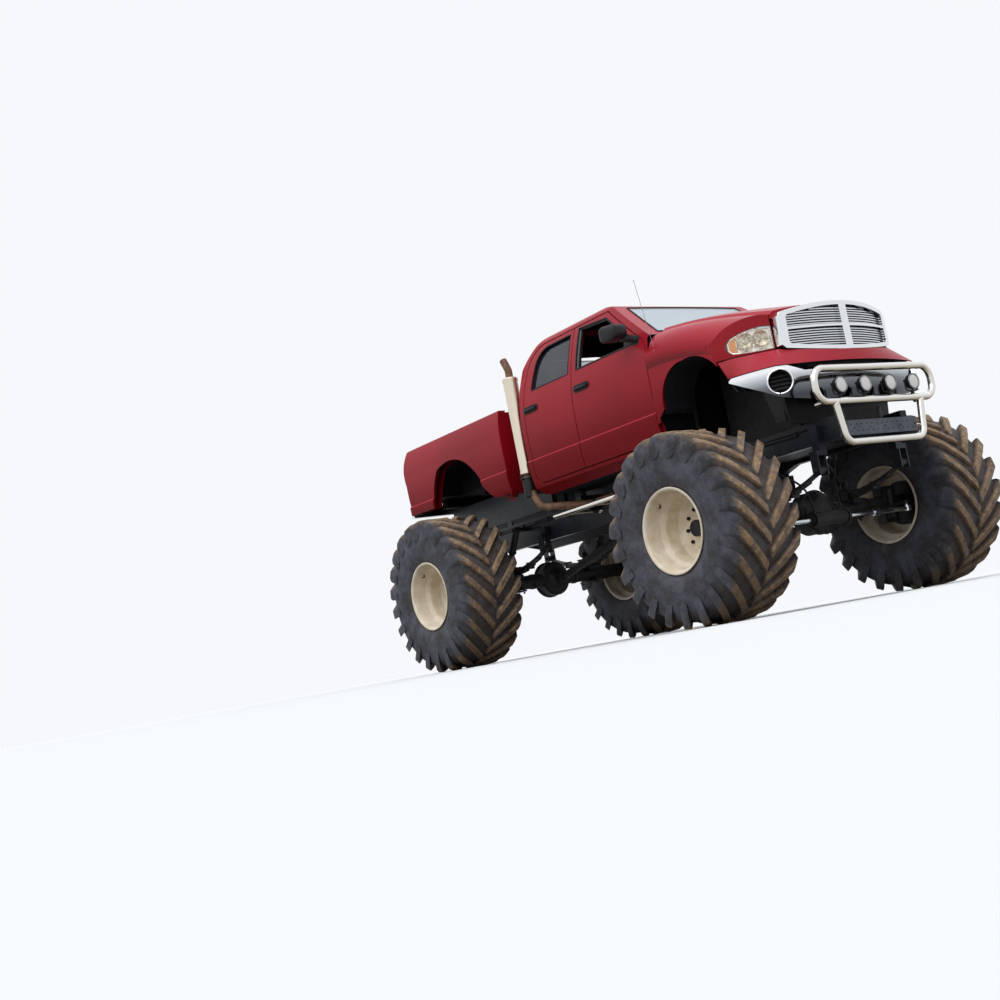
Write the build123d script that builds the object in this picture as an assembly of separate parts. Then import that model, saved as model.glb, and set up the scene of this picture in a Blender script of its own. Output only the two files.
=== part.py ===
from build123d import *
import os
from math import cos, pi, radians, sin

# Monster truck: a four-door pickup body carried high on tractor tyres. Millimetres.
# Pieces are drawn in the body's frame: X forward from the front arch's centre, Y to the left,
# Z up from the sill's lower edge. place() then stands the truck on the ground.

# Stance
sill_height = 1590
front_end = 1090
rear_end = -4950
front_axle_x = 88
rear_axle_x = -3780
half_track = 1288
disc_offset = -34
hub_face = half_track + disc_offset - 0.3
tyre_radius = 795
axle_z = tyre_radius - sill_height

# Small clearances
seat_gap = 0.3
door_gap = 9
panel_gap = 8

# Body side, half width and height
body_half = 1000
sill_bottom = -60
crease_z = 306
crease_step = 14
belt_z = 935
belt_half = 965
roof_edge_z = 1400
roof_edge_half = 825
roof_z = 1500
wall = 60
skin = 10

# Cab, along the truck
cab_front = -470
cab_rear = -2480
screen_foot = (-445, 985)
screen_head = (-1010, 1425)
front_door_start = -508
b_cut = -1605
rear_door_end = -2400
door_foot = 60
door_head = 1392
hinge_inset = 33
hinge_depth = 15
hinge_heights = (470, 670)
hinge_pin = 6
hinge_skin = 6

# Front clip
fender_rear = -499
hood_rear = -437
front_skin = 22
grille_depth = 45

# Bed
bed_front = -2880
bed_rear = -4810
bed_rail_z = 925
bed_floor_z = 360
bed_floor = 50
bed_wall_half = 880
tailgate_thick = 42

# Chassis
rail_outer = 425
rail_width = 75
rail_web = 10
rail_top = -110
rail_rear_top = -160
rail_front = 955


# Drawing helpers
def outline(start, *steps):
    # A step is a point for a straight line, or (middle, end) for an arc.
    edges = []
    here = start
    for step in steps:
        if isinstance(step[0], tuple):
            middle, end = step
            edges.append(ThreePointArc(here, middle, end))
        else:
            end = step
            edges.append(Line(here, end))
        here = end
    if here != start:
        edges.append(Line(here, start))
    return make_face(edges)


def both_sides(start, *steps):
    # A closed outline from its half on the positive first axis, starting and ending on the middle line.
    half = []
    here = start
    for step in steps:
        if isinstance(step[0], tuple):
            middle, end = step
            half.append(ThreePointArc(here, middle, end))
        else:
            end = step
            half.append(Line(here, end))
        here = end
    return make_face(half + [mirror(edge, about=Plane.YZ) for edge in half])


def along_x(face, x0, x1):
    return extrude(Plane.YZ.offset(x0) * face, amount=x1 - x0, dir=(1, 0, 0))


def along_y(face, y0, y1):
    return extrude(Plane.XZ.offset(-y0) * face, amount=y1 - y0, dir=(0, 1, 0))


def along_z(face, z0, z1):
    return extrude(Plane.XY.offset(z0) * face, amount=z1 - z0, dir=(0, 0, 1))


def block(x0, x1, y0, y1, z0, z1):
    return Pos((x0 + x1) / 2, (y0 + y1) / 2, (z0 + z1) / 2) * Box(x1 - x0, y1 - y0, z1 - z0)


def bar_y(x, z, radius, y0, y1):
    return Pos(x, (y0 + y1) / 2, z) * Rot(90, 0, 0) * Cylinder(radius, y1 - y0)


def bar_z(x, y, radius, z0, z1):
    return Pos(x, y, (z0 + z1) / 2) * Cylinder(radius, z1 - z0)


def bar_x(y, z, radius, x0, x1):
    return Pos((x0 + x1) / 2, y, z) * Rot(0, 90, 0) * Cylinder(radius, x1 - x0)


def bar(start, end, radius):
    a = Vector(*start)
    b = Vector(*end)
    plane = Plane(origin=a, z_dir=b - a)
    return extrude(plane * Circle(radius), amount=(b - a).length)


def bent_tube(points, radius, bends):
    path = FilletPolyline(*points, radius=bends)
    start = Plane(origin=path @ 0, z_dir=path % 0)
    return sweep(start * Circle(radius), path=path)


def mirrored(shape):
    return mirror(shape, about=Plane.XZ)


def pair(shape):
    return shape + mirrored(shape)


# Body cross-section: (half width, height) with arc middles, inset by the wall
def body_face(inset, top=None):
    roof = roof_z - inset
    return both_sides(
        (0, sill_bottom + inset),
        (880 - inset, sill_bottom + inset),
        (955 - inset, 20 + inset / 2),
        ((987 - inset, 160), (body_half - inset, crease_z - crease_step)),
        (body_half - crease_step - inset, crease_z),
        ((body_half - 2 - inset, 470), (body_half - inset, 640)),
        ((990 - inset, 790), (belt_half - inset, belt_z)),
        ((905 - inset, 1175), (roof_edge_half - inset, roof_edge_z - inset / 2)),
        ((790 - inset, 1448 - inset), (700 - inset, 1470 - inset)),
        ((350, 1493 - inset), (0, roof)),
    )


def cab_side_face(inset):
    sx, sz = screen_foot
    hx, hz = screen_head
    return outline(
        (cab_front - inset, sill_bottom + inset),
        (cab_front - inset, sz - 25),
        (sx - inset, sz),
        (hx - inset * 0.8, hz - inset * 0.6),
        ((-1420, 1498 - inset), (-1900, 1488 - inset)),
        ((-2215 + inset / 2, 1420 - inset), (-2440 + inset, 1220)),
        (cab_rear + inset, 1000),
        (cab_rear + inset, 100),
        ((-2445 + inset, -15 + inset / 2), (-2330, sill_bottom + inset)),
    )


def cab_solid(inset):
    return along_x(body_face(inset), cab_rear - 20, cab_front + 20) & along_y(cab_side_face(inset), -1100, 1100)


# Door outlines, seen from the side: name, cut outline and window outline
def front_door_face(grow, rear_grow):
    return outline(
        (front_door_start + grow, door_foot - grow),
        (front_door_start + grow, 905),
        (-560 + grow, 975 + grow),
        (-1075 + grow, door_head + grow),
        (b_cut - door_gap / 2 + 25 - rear_grow, door_head + grow),
        (b_cut + door_gap / 2 - rear_grow, belt_z),
        (b_cut + door_gap / 2 - 25 - rear_grow, door_foot - grow),
    )


def rear_door_face(grow, rear_grow):
    return outline(
        (b_cut - door_gap / 2 - 25 + grow, door_foot - grow),
        (b_cut - door_gap / 2 + grow, belt_z),
        (b_cut - door_gap / 2 + 16 + grow, door_head + grow),
        (-2080, door_head + grow),
        ((-2255 - rear_grow, 1320 + grow), (-2345 - rear_grow, 1180)),
        (rear_door_end - rear_grow, belt_z),
        (rear_door_end - rear_grow, 180),
        ((-2370 - rear_grow, 95 - grow), (-2290, door_foot - grow)),
    )


front_window = outline((-640, 968), (-1085, 1345), (-1515, 1372), (-1535, 968))
rear_window = outline((-1655, 966), (-1635, 1352), (-2040, 1352), ((-2160, 1300), (-2235, 1150)), (-2275, 966))


def front_window_face(shrink):
    return offset(front_window, amount=-shrink) if shrink else front_window


def rear_window_face(shrink):
    return offset(rear_window, amount=-shrink) if shrink else rear_window


def side_cut(face):
    return along_y(face, -1200, -500)


cab_outer = cab_solid(0)
cab_inner = cab_solid(wall)
right_half = block(-3000, 1500, -1500, 0, -500, 2000)
door_skin = (cab_outer - cab_solid(skin)) & right_half
door_core = (cab_solid(skin) - cab_inner) & right_half


def make_door(face, window, core_back):
    leaf = (door_skin & side_cut(face(0, 0))) + (door_core & side_cut(face(0, -core_back)))
    return leaf - side_cut(window) - along_x(body_face(wall), cab_rear, cab_front)


front_hinge_x = front_door_start - hinge_inset
rear_hinge_x = b_cut - door_gap / 2 - 25 - hinge_inset
hinge_y = body_half - hinge_depth


def hinge_notch(x, front_edge, z):
    # Room for the arm, behind a thin skin, with the pin left standing in it
    room = block(x - 13, front_edge + 40, -(body_half - hinge_skin), -800, z - 30, z + 30)
    return room - bar_z(x, -hinge_y, hinge_pin, z - 30, z + 30)


def hinge_arm(x, post_x, inner, z):
    # An eye round the door's pin, and an arm that passes inside the door to its post
    eye = bar_z(x, -hinge_y, hinge_pin + 2.6, z - 24, z + 24)
    arm = block(x - 8, x + 8, -hinge_y, -inner, z - 24, z + 24)
    foot = block(x - 8, post_x, -inner - 18, -inner, z - 24, z + 24)
    return eye + arm + foot - bar_z(x, -hinge_y, hinge_pin + seat_gap, z - 40, z + 40)


def front_notches():
    return [hinge_notch(front_hinge_x, front_door_start, z) for z in hinge_heights]


def rear_notches():
    return [hinge_notch(rear_hinge_x, b_cut, z) for z in hinge_heights]


door_front = make_door(front_door_face, front_window_face(0), 25) - front_notches()
door_rear = make_door(rear_door_face, rear_window_face(0), 30) - rear_notches()

# Cab shell: doors, screens and the lap under each fender are cut out of a hollow body
screen_run = Vector(screen_head[0] - screen_foot[0], 0, screen_head[1] - screen_foot[1])
screen_length = screen_run.length
screen_normal = Vector(-screen_run.Z, 0, screen_run.X).normalized() * -1
screen_plane = Plane(origin=(screen_foot[0], 0, screen_foot[1]), x_dir=(0, 1, 0), z_dir=screen_normal)
screen_glass_thick = 6


def screen_face(shrink):
    low = 60 + shrink
    high = screen_length - 45 - shrink
    return both_sides((0, low), (800 - shrink, low + 20), (688 - shrink, high - 10), ((350, high + 3), (0, high + 6)))


rear_glass_face = both_sides((0, 1010), (640, 1010), (600, 1300), (0, 1318))


def make_cab():
    shell = cab_outer - cab_inner
    for face in (front_door_face(door_gap, 0), rear_door_face(door_gap, door_gap)):
        opening = side_cut(face)
        shell = shell - opening - mirrored(opening)
    shell = shell - extrude(screen_plane * screen_face(0), amount=80, both=True)
    shell = shell - along_x(rear_glass_face, cab_rear - 50, cab_rear + 200)
    lap = along_x(body_face(0), fender_rear - 8, 0) - along_x(body_face(32), fender_rear - 8, 0)
    shell = shell - (lap & block(-600, 0, -1200, 1200, -200, 842))
    hoop = along_x(body_face(wall + 30), b_cut - 60, b_cut + 10) - along_x(body_face(wall + 64), b_cut - 80, b_cut + 30)
    hoop_ends = along_x(body_face(wall - 2), b_cut - 60, b_cut + 10) - along_x(body_face(wall + 64), b_cut - 80, b_cut + 30)
    hoop_ends = hoop_ends - block(-2000, -1000, -1200, 1200, door_foot - 25, door_head + 20)
    shell = shell + (hoop + hoop_ends)
    for z in hinge_heights:
        shell = shell + pair(hinge_arm(front_hinge_x, -478, 927, z))
        shell = shell + pair(hinge_arm(rear_hinge_x, b_cut - 30, 895, z))
    return shell


cab_shell = make_cab()
screen_glass = extrude(screen_plane * screen_face(seat_gap), amount=-screen_glass_thick)
rear_glass = along_x(offset(rear_glass_face, amount=-seat_gap), cab_rear + 4, cab_rear + 10)
fixed_glass = screen_glass + rear_glass


def door_glass(window):
    return (cab_solid(24) - cab_solid(30)) & right_half & side_cut(offset(window, amount=-seat_gap))


glass_front = door_glass(front_window)
glass_rear = door_glass(rear_window)

# Handles and mirrors, which sit on the doors' skin
handle_height = 44
handle_length = 230
handle_rise = 28


def handle(x, z):
    shape = outline(
        (x - handle_length / 2, z - handle_height / 2),
        (x + handle_length / 2, z - handle_height / 2 + 8),
        (x + handle_length / 2, z + handle_height / 2 + 8),
        (x - handle_length / 2, z + handle_height / 2),
    )
    skin_out = along_x(body_face(-handle_rise), x - 200, x + 200)
    skin_in = along_x(body_face(0), x - 200, x + 200)
    return (skin_out - skin_in) & right_half & side_cut(shape)


handle_front = handle(-1455, 792)
handle_rear = handle(-2290, 792)


def make_mirror():
    head = outline((-800, 1010), (-790, 1125), ((-700, 1150), (-615, 1120)), (-600, 1015), ((-700, 995), (-800, 1010)))
    shell = along_y(head, -1215, -1010)
    shell = fillet(shell.edges().group_by(Axis.Y)[0], 25)
    arm = along_y(outline((-640, 950), (-640, 1040), (-560, 1000), (-560, 950)), -1060, -900)
    return (shell + arm) - along_x(body_face(0), -900, -500)


mirror_right = make_mirror()

# Front clip: a loft through four stations
# Columns: x, height where the side turns in, shoulder half width and height,
# hood edge half width and height, centre height
stations = [
    (-500, 680, 975, 900, 805, 1010, 1095),
    (-50, 660, 965, 868, 745, 965, 1050),
    (350, 580, 955, 775, 700, 888, 965),
    (900, 430, 945, 620, 640, 745, 835),
]
clip_bottom = 200


def station_face(turn_z, shoulder_y, shoulder_z, edge_y, edge_z, crown_z, inset):
    return both_sides(
        (0, clip_bottom),
        (body_half - inset, clip_bottom),
        (body_half - inset, turn_z - inset / 2),
        ((shoulder_y - inset * 0.8, shoulder_z - inset * 0.7), (edge_y, edge_z - inset)),
        (edge_y - 35, edge_z + 34 - inset),
        ((edge_y / 2, (edge_z + crown_z) / 2 + 40 - inset), (0, crown_z - inset)),
    )


def clip_plan(inset, rear=fender_rear):
    return outline(
        (rear, -1100),
        (250, -1100),
        (250, -body_half - 1 + inset),
        ((365 - inset * 0.3, -985 + inset), (425 - inset * 0.7, -950 + inset * 0.8)),
        ((585 - inset * 0.8, -815 + inset * 0.6), (700 - inset, -640 + inset * 0.3)),
        ((800 - inset, 0), (700 - inset, 640 - inset * 0.3)),
        ((585 - inset * 0.8, 815 - inset * 0.6), (425 - inset * 0.7, 950 - inset * 0.8)),
        ((365 - inset * 0.3, 985 - inset), (250, body_half + 1 - inset)),
        (250, 1100),
        (rear, 1100),
    )


def clip_solid(inset):
    faces = []
    for x, *sizes in stations:
        faces.append(Plane.YZ.offset(x) * station_face(*sizes, inset))
    return loft(faces) & along_z(clip_plan(inset), 0, 1300)


clip_outer = clip_solid(0)
clip_skin = clip_outer - clip_solid(front_skin)

hood_plan_rear_half = 797
hood_plan_front_half = 655
grille_front = 885
grille_corner = 757


def hood_half(x):
    # The hood narrows in a straight line from the cowl to the grille
    share = (x - hood_rear) / (grille_corner - hood_rear)
    return hood_plan_rear_half + share * (hood_plan_front_half - hood_plan_rear_half)


def hood_plan(grow, x0=hood_rear, x1=900):
    rear = hood_half(x0) + grow
    front = hood_half(x1) + grow
    return outline((x0, -rear), (x1, -front), (x1, front), (x0, rear))


front_arch = outline(
    (-470, -150), (-455, 240), (-385, 300), ((-290, 560), (-60, 642)), ((235, 572), (395, 331)), (480, 200), (480, -150)
)


def lamp_outline(grow):
    return outline(
        (668 - grow, 524 - grow),
        (668 - grow, 712 + grow),
        ((820, 712 + grow), (925 + grow, 672 + grow)),
        ((952 + grow, 610), (930 + grow, 538 - grow)),
        ((800, 520 - grow), (668 - grow, 524 - grow)),
    )


lamp_depth = 60


def make_fender():
    skin_part = clip_skin & block(-600, 1000, -1100, -600, 0, 1300)
    skin_part = skin_part - along_z(hood_plan(panel_gap, -700), 0, 1300) & block(-600, 1000, -1100, 0, 0, 1300)
    skin_part = skin_part - along_y(front_arch, -1100, -500)
    skin_part = skin_part - block(-600, hood_rear, -1100, 0, 842, 1300)
    skin_part = skin_part - block(330, 1000, -1100, 0, 0, 512)
    lamp_hole = along_x(mirror(lamp_outline(seat_gap), about=Plane.YZ), 250, 1000)
    return skin_part - lamp_hole


fender_right = make_fender()
lamp_body = (clip_solid(1) - clip_solid(lamp_depth)) & along_x(mirror(lamp_outline(0), about=Plane.YZ), 250, 1000)
headlamps = pair(lamp_body)

hood_skin = clip_skin & along_z(hood_plan(0), 640, 1300)
hood_skin = hood_skin & block(hood_rear, 1000, -900, 900, 770, 1300)

# Grille: a surround with a cross, and the bars behind it

def grille_face(inset):
    return both_sides(
        (0, 455 + inset),
        ((350, 468 + inset), (625 - inset, 500 + inset)),
        (655 - inset, 530 + inset),
        (648 - inset, 770 - inset),
        (615 - inset, 806 - inset),
        ((330, 850 - inset), (0, 866 - inset)),
    )


def grille_window():
    # The opening follows the frame: wide at the sides, narrow above and below
    return both_sides(
        (0, 487),
        ((320, 498), (556, 526)),
        ((580, 534), (590, 560)),
        (584, 742),
        ((578, 768), (554, 778)),
        ((300, 816), (0, 832)),
    )


def grille_plan(back, depth):
    corner = grille_corner - back
    front = grille_front - back
    return outline(
        (corner - depth, -660),
        (corner, -660),
        ((front, 0), (corner, 660)),
        (corner - depth, 660),
        ((front - depth, 0), (corner - depth, -660)),
    )


grille_lip = 60
grille_cross_z = 660
grille_cross = 20
grille_stem = 43
bar_pitch = 20.5
bar_thick = 9
bars_each = 6


def make_grille():
    shell = along_x(grille_face(0), 600, 1000) & along_z(grille_plan(0, 95), 400, 900)
    shell = shell - along_z(clip_plan(0), 300, 1300)
    window = along_x(grille_window(), 600, 1000)
    stem = block(600, 1000, -grille_stem, grille_stem, 300, 1000)
    cross = block(600, 1000, -700, 700, grille_cross_z - grille_cross / 2, grille_cross_z + grille_cross / 2)
    return shell - (window - stem - cross)


grille_surround = make_grille()


def make_grille_bars():
    inside = along_x(grille_window(), 600, 1000)
    band = along_z(grille_plan(30, 20), 400, 900)
    bars = None
    for side in (-1, 1):
        base = grille_cross_z + side * grille_cross / 2
        for row in range(bars_each):
            z = base + side * bar_pitch * (row + 0.75)
            slat = block(600, 1000, -700, 700, z - bar_thick / 2, z + bar_thick / 2)
            bars = slat if bars is None else bars + slat
    panel = along_z(grille_plan(50, 12), 400, 900) & inside
    stem = block(600, 1000, -grille_stem, grille_stem, 300, 1000)
    cross = block(600, 1000, -700, 700, grille_cross_z - grille_cross / 2, grille_cross_z + grille_cross / 2)
    return ((bars & band & inside) + panel) - stem - cross


grille_bars = make_grille_bars()

hood_hinge_x = -425
hood_hinge_z = 1015
hood_hinge_half = 560
hood_pin_radius = 6
hood_eye = 12


def hinge_leaf(top):
    # A leaf hanging from the hood, rounded about the pin
    left = hood_hinge_x - hood_eye
    right = hood_hinge_x + hood_eye
    return outline((left, hood_hinge_z), ((hood_hinge_x, hood_hinge_z - hood_eye), (right, hood_hinge_z)), (right + 20, top), (left, top))


def hinge_ear_face():
    left = hood_hinge_x - hood_eye
    right = hood_hinge_x + hood_eye
    return outline(
        (cab_front - 10, 900), (cab_front + 5, 900), (right, 975), (right, hood_hinge_z),
        ((hood_hinge_x, hood_hinge_z + hood_eye), (left, hood_hinge_z)), (left, 990), (cab_front - 10, 950),
    )


def make_hood():
    # The skin, a front panel behind the grille and two hinge arms on the underside
    lip = along_x(grille_face(6), 600, 800) & along_z(clip_plan(0), 400, 1200) & block(600, 900, -700, 700, 480, 900)
    lip = lip - along_z(clip_plan(18), 300, 1200)
    lip = lip - along_x(grille_face(grille_lip), 500, 900)
    arm = along_y(hinge_leaf(hood_hinge_z + 45), -hood_hinge_half - 30, -hood_hinge_half + 30)
    arm = arm & clip_solid(front_skin)
    arm = arm - bar_y(hood_hinge_x, hood_hinge_z, hood_pin_radius + seat_gap, -hood_hinge_half - 40, -hood_hinge_half + 40)
    return hood_skin + lip + pair(arm)


hood = make_hood()
hood_pin = bar_y(hood_hinge_x, hood_hinge_z, hood_pin_radius, -hood_hinge_half - 50, -hood_hinge_half + 50)
hood_ear = along_y(hinge_ear_face(), -hood_hinge_half - 55, -hood_hinge_half - 32)
hood_ear = hood_ear + along_y(hinge_ear_face(), -hood_hinge_half + 32, -hood_hinge_half + 55)
cab_shell = cab_shell + pair(hood_pin + hood_ear)

# Bumper cover: a painted shelf below the lamps, a loft between two plans
cover_low_z = 345
cover_high_z = 505


def cover_plan(low, inset):
    if low:
        rows = [(430, 1000), (470, 990), (650, 930), (810, 845), (925, 430), (950, 0)]
    else:
        rows = [(335, 985), (428, 948), (588, 812), (712, 662), (838, 340), (878, 0)]
    tip, turn, mid, corner, front_mid, front = [(x - inset, y - inset * 0.6) for x, y in rows]
    return outline(
        (tip[0], tip[1]),
        turn,
        (mid, corner),
        ((front[0], 0), (corner[0], -corner[1])),
        ((mid[0], -mid[1]), (turn[0], -turn[1])),
        (tip[0], -tip[1]),
    )


def cover_solid(inset):
    low = Plane.XY.offset(cover_low_z - (0 if not inset else 1)) * cover_plan(True, inset)
    high = Plane.XY.offset(cover_high_z + (0 if not inset else 1)) * cover_plan(False, inset)
    return loft([low, high], ruled=True)


bumper_cover = cover_solid(0) - cover_solid(30) - along_x(grille_face(-panel_gap), 400, 1000)

# Chrome bumper: a curved band with swept ends and round lamp holes
bumper_top = 338
bumper_mid = 284
bumper_thick = 38
lamp_hole_radius = 92


def make_bumper():
    face = cover_plan(True, 0)
    inner = cover_plan(True, bumper_thick)
    band = along_z(face, 30, bumper_top) - along_z(inner, 20, bumper_top + 10)
    side = outline(
        (420, 312), (455, bumper_top), (842, bumper_top), ((858, 318), (882, bumper_mid)), (1000, bumper_mid),
        (1000, 36), (900, 40), ((790, 100), (700, 160)),
    )
    band = band & along_y(side, -1100, 1100)
    for sign in (-1, 1):
        plane = Plane(origin=(812, sign * 825, 214), z_dir=(0.72, sign * 0.69, 0))
        band = band - extrude(plane * Circle(lamp_hole_radius), amount=150, both=True)
    return band


front_bumper = make_bumper()

# Bull bar: two stainless loops in front of the bumper
bull_x = 1050
beam_x = 1029
bull_tube = 30
upper_half = 710
upper_low = -22
upper_high = 247
lower_half_top = 520
lower_half_low = 470
lower_low = -358


def make_bull_bar():
    lift = upper_low
    upper = [
        (bull_x, upper_half, upper_high), (bull_x, upper_half, lift),
        (bull_x, -upper_half, lift), (bull_x, -upper_half, upper_high),
    ]
    path = FilletPolyline(*upper, radius=112, close=True)
    start = Plane(origin=path @ 0, z_dir=path % 0)
    loop = sweep(start * Circle(bull_tube), path=path)
    lower = [
        (bull_x, -lower_half_top, lift), (bull_x, -lower_half_low, lower_low),
        (bull_x, lower_half_low, lower_low), (bull_x, lower_half_top, lift),
    ]
    loop = loop + bent_tube(lower, bull_tube, 90)
    for sign in (-1, 1):
        stub = bar_y(beam_x, -250, 9, min(sign * 490, sign * rail_outer), max(sign * 490, sign * rail_outer))
        loop = loop + stub + bar_x(sign * 600, upper_low, 22, 930, bull_x)
    return loop


bull_bar = make_bull_bar() - block(beam_x - 20, beam_x + 20, -rail_outer - seat_gap, rail_outer + seat_gap, -310, -170)

spot_places = [-443, -153, 153, 443]
spot_z = 106
spot_radius = 68


def make_spots():
    lamps = None
    for y in spot_places:
        bowl = Pos(1040, y, spot_z) * Rot(0, 90, 0) * Cone(48, spot_radius, 50)
        rim = bar_x(y, spot_z, spot_radius, 1065, front_end)
        foot = bar_z(1050, y, 12, upper_low + bull_tube + seat_gap - 2, spot_z - 40)
        lamp = bowl + rim + foot
        lamps = lamp if lamps is None else lamps + lamp
    return lamps


spot_lamps = make_spots() - bull_bar

# Seats and dashboard, seen through the glass
floor_z = sill_bottom + wall


def seat(x, y, width):
    side = outline(
        (x, floor_z + 180), (x + 480, floor_z + 200), ((x + 510, floor_z + 280), (x + 470, floor_z + 340)), (x + 120, floor_z + 320),
        (x - 10, floor_z + 900), ((x - 70, floor_z + 960), (x - 120, floor_z + 900)), (x - 40, floor_z + 200),
    )
    cushion = along_y(side, y - width / 2, y + width / 2)
    base = block(x + 40, x + 420, y - width / 2 + 60, y + width / 2 - 60, floor_z, floor_z + 200)
    return cushion + base


def make_interior():
    bench = seat(-2230, 0, 1500)
    fronts = pair(seat(-1420, -420, 540))
    dash_side = outline((-540, 470), (-540, 860), ((-620, 900), (-760, 800)), (-780, 640), (-700, 470))
    dash = along_y(dash_side, -840, 840) & cab_solid(wall + 14)
    foot = block(-560, -530.3, -500, 500, floor_z, 480)
    column = bar((-760, 420, 700), (-905, 420, 780), 22)
    tilt = Plane(origin=(-905, 420, 780), z_dir=(-145, 0, 80))
    wheel = tilt * Torus(185, 15) + tilt * Box(360, 26, 16) + tilt * Cylinder(45, 26)
    return bench + fronts + (dash + foot) + (column + wheel)


interior = make_interior()

# Chassis: two channel rails, cross members, mounts
rail_side = outline(
    (rail_front, -300), (rail_front, rail_top), (-600, rail_top), (-1000, rail_rear_top), (-4780, rail_rear_top), (-4780, -300), (-4300, -430),
    (-700, -430), (-300, -300),
)
rail_inner_side = offset(rail_side, amount=-12)
mount_z = -175
cab_mounts = [-640, -1450, -2250]
bed_mounts = [-3050, -3800, -4600]
cross_rows = [(780, 60), (-620, 90), (-1700, 90), (-2700, 90), (-3300, 90), (-4650, 90)]


cross_low = -286
cross_high = -182


def make_rail():
    rail = along_y(rail_side, -rail_outer, -rail_outer + rail_width)
    return rail - along_y(rail_inner_side, -rail_outer + rail_web, -rail_outer + rail_width + 1)


def make_cross_members():
    half = rail_outer - rail_web
    members = None
    for x, width in cross_rows:
        member = block(x - width / 2, x + width / 2, -half, half, cross_low, cross_high)
        members = member if members is None else members + member
    return members


def make_body_mounts():
    mounts = None
    for x in cab_mounts:
        arm = block(x - 45, x + 45, -642, -rail_outer, mount_z, mount_z + 50)
        arm = arm + bar_z(x, -600, 40, mount_z, sill_bottom)
        mounts = arm if mounts is None else mounts + arm
    for x in bed_mounts:
        mounts = mounts + block(x - 40, x + 40, -rail_outer, -rail_outer + rail_width, rail_rear_top, 210)
    mounts = mounts + block(-2420, -1010, -rail_outer, -rail_outer + 60, rail_rear_top, sill_bottom - seat_gap)
    mounts = mounts + block(-4780, -2960, -rail_outer, -rail_outer + 60, -110, 210)
    return mounts + block(-4885, -4700, -rail_outer, -rail_outer + rail_width, rail_rear_top, 260)


frame_rail = make_rail()
cross_members = make_cross_members()
body_mounts = make_body_mounts()

# Inner front structure: radiator support and a liner over each front wheel
support_x0 = 600
support_x1 = 640
liner_inner = 620
liner_gap = 12
liner_thick = 6


def arch_liner(arch, x0, x1, y_in, y_out, top):
    # A band that follows the arch, with an inner wall
    band = along_y(offset(arch, amount=liner_gap + liner_thick), -y_out, -y_in)
    band = band - along_y(offset(arch, amount=liner_gap), -y_out - 1, -y_in + 1)
    band = band & block(x0, x1, -1100, 0, 10, top)
    return band


def make_liners():
    liner = arch_liner(front_arch, -440, 480, liner_inner, body_half - front_skin - seat_gap, 800)
    wall_side = outline(
        (-440, 0), (-440, 880), (support_x0, 640), (support_x0, -60), (500, -60), (380, 330), ((235, 590), (-60, 660)),
        ((-290, 580), (-400, 310)), (-400, 0),
    )
    return pair(liner + along_y(wall_side, -liner_inner - 1, -liner_inner + 8))


def make_support():
    panel = along_x(both_sides((0, -100), (600, -100), (690, 480), (640, 700), (0, 790)), support_x0, support_x1)
    opening = along_x(both_sides((0, 60), (470, 60), (520, 430), (500, 640), (0, 690)), support_x0 - 10, support_x1 + 10)
    rail_post = block(support_x0, support_x1, -rail_outer, -rail_outer + rail_width, rail_top, 0)
    bumper_arm = block(support_x1 - 5, 860, -560, -520, 120, 180)
    cover_arm = block(support_x1 - 5, 790, -600, -560, 380, 420)
    return (panel - opening) + pair(rail_post + bumper_arm + cover_arm)


def trimmed_to_clip(piece):
    piece = piece - (clip_outer - clip_solid(front_skin + seat_gap)) - headlamps
    return piece - cover_solid(0) - front_bumper - hood


inner_front = trimmed_to_clip(make_liners())
radiator_support = trimmed_to_clip(make_support())

# Bed
bed_arch = outline(
    (-4400, -150), (-4372, 190), ((-4300, 400), (-4178, 577)), ((-3920, 634), (-3661, 581)),
    ((-3490, 460), (-3345, 239)), ((-3235, 115), (-3060, 20)), (-3060, -150),
)


def bedside_face():
    return outline(
        (-900, 5),
        (-955, 40),
        ((-987, 170), (-body_half, crease_z - crease_step)),
        (-body_half + crease_step, crease_z),
        ((-body_half + 2, 470), (-body_half, 640)),
        ((-992, 790), (-967, bed_rail_z - 12)),
        ((-962, bed_rail_z - 3), (-950, bed_rail_z)),
        (-bed_wall_half, bed_rail_z),
        (-bed_wall_half, 200),
        (-bed_wall_half, 5),
    )


bedside_outline = outline(
    (bed_front, 930), (bed_front, 130), ((-2905, 40), (-3000, 0)), (-4830, 0), (-4862, 200), (-4862, 540),
    ((-4856, 800), (-4780, 930)),
)
hollow_depth = 34


def make_bedside():
    full = along_x(bedside_face(), bed_rear - 80, bed_front + 10) & along_y(bedside_outline, -1100, 0)
    full = full - along_y(bed_arch, -1100, -500)
    full = full - block(-5000, -4372, -1100, 0, -50, 200)
    hollow = block(bed_rear + 20, bed_front - 40, -body_half + hollow_depth, -bed_wall_half - 1, -50, bed_rail_z - 60)
    return full - hollow


bedside_right = make_bedside()
bedsides = pair(bedside_right)
wheelhouse_half = 600


def make_tub():
    half = bed_wall_half - seat_gap
    floor = block(bed_rear, bed_front, -half, half, bed_floor_z - bed_floor, bed_floor_z)
    bulkhead = block(bed_front - 45, bed_front, -half, half, 60, bed_rail_z - 20)
    tub = floor + bulkhead
    house = along_y(offset(bed_arch, amount=30), -half, -wheelhouse_half) & block(-4600, -3150, -half, 0, bed_floor_z - 10, 800)
    space = along_y(offset(bed_arch, amount=12), -half - 5, -wheelhouse_half - 14)
    for flip in (False, True):
        lid = mirrored(house) if flip else house
        cut = mirrored(space) if flip else space
        tub = (tub + lid) - cut
    for x in bed_mounts:
        tub = tub + block(x - 45, x + 45, -700, 700, 210, bed_floor_z - bed_floor)
    return tub


bed_tub = make_tub()

tail_hinge_z = 356
tail_half = 862
tail_x = -4822


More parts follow.
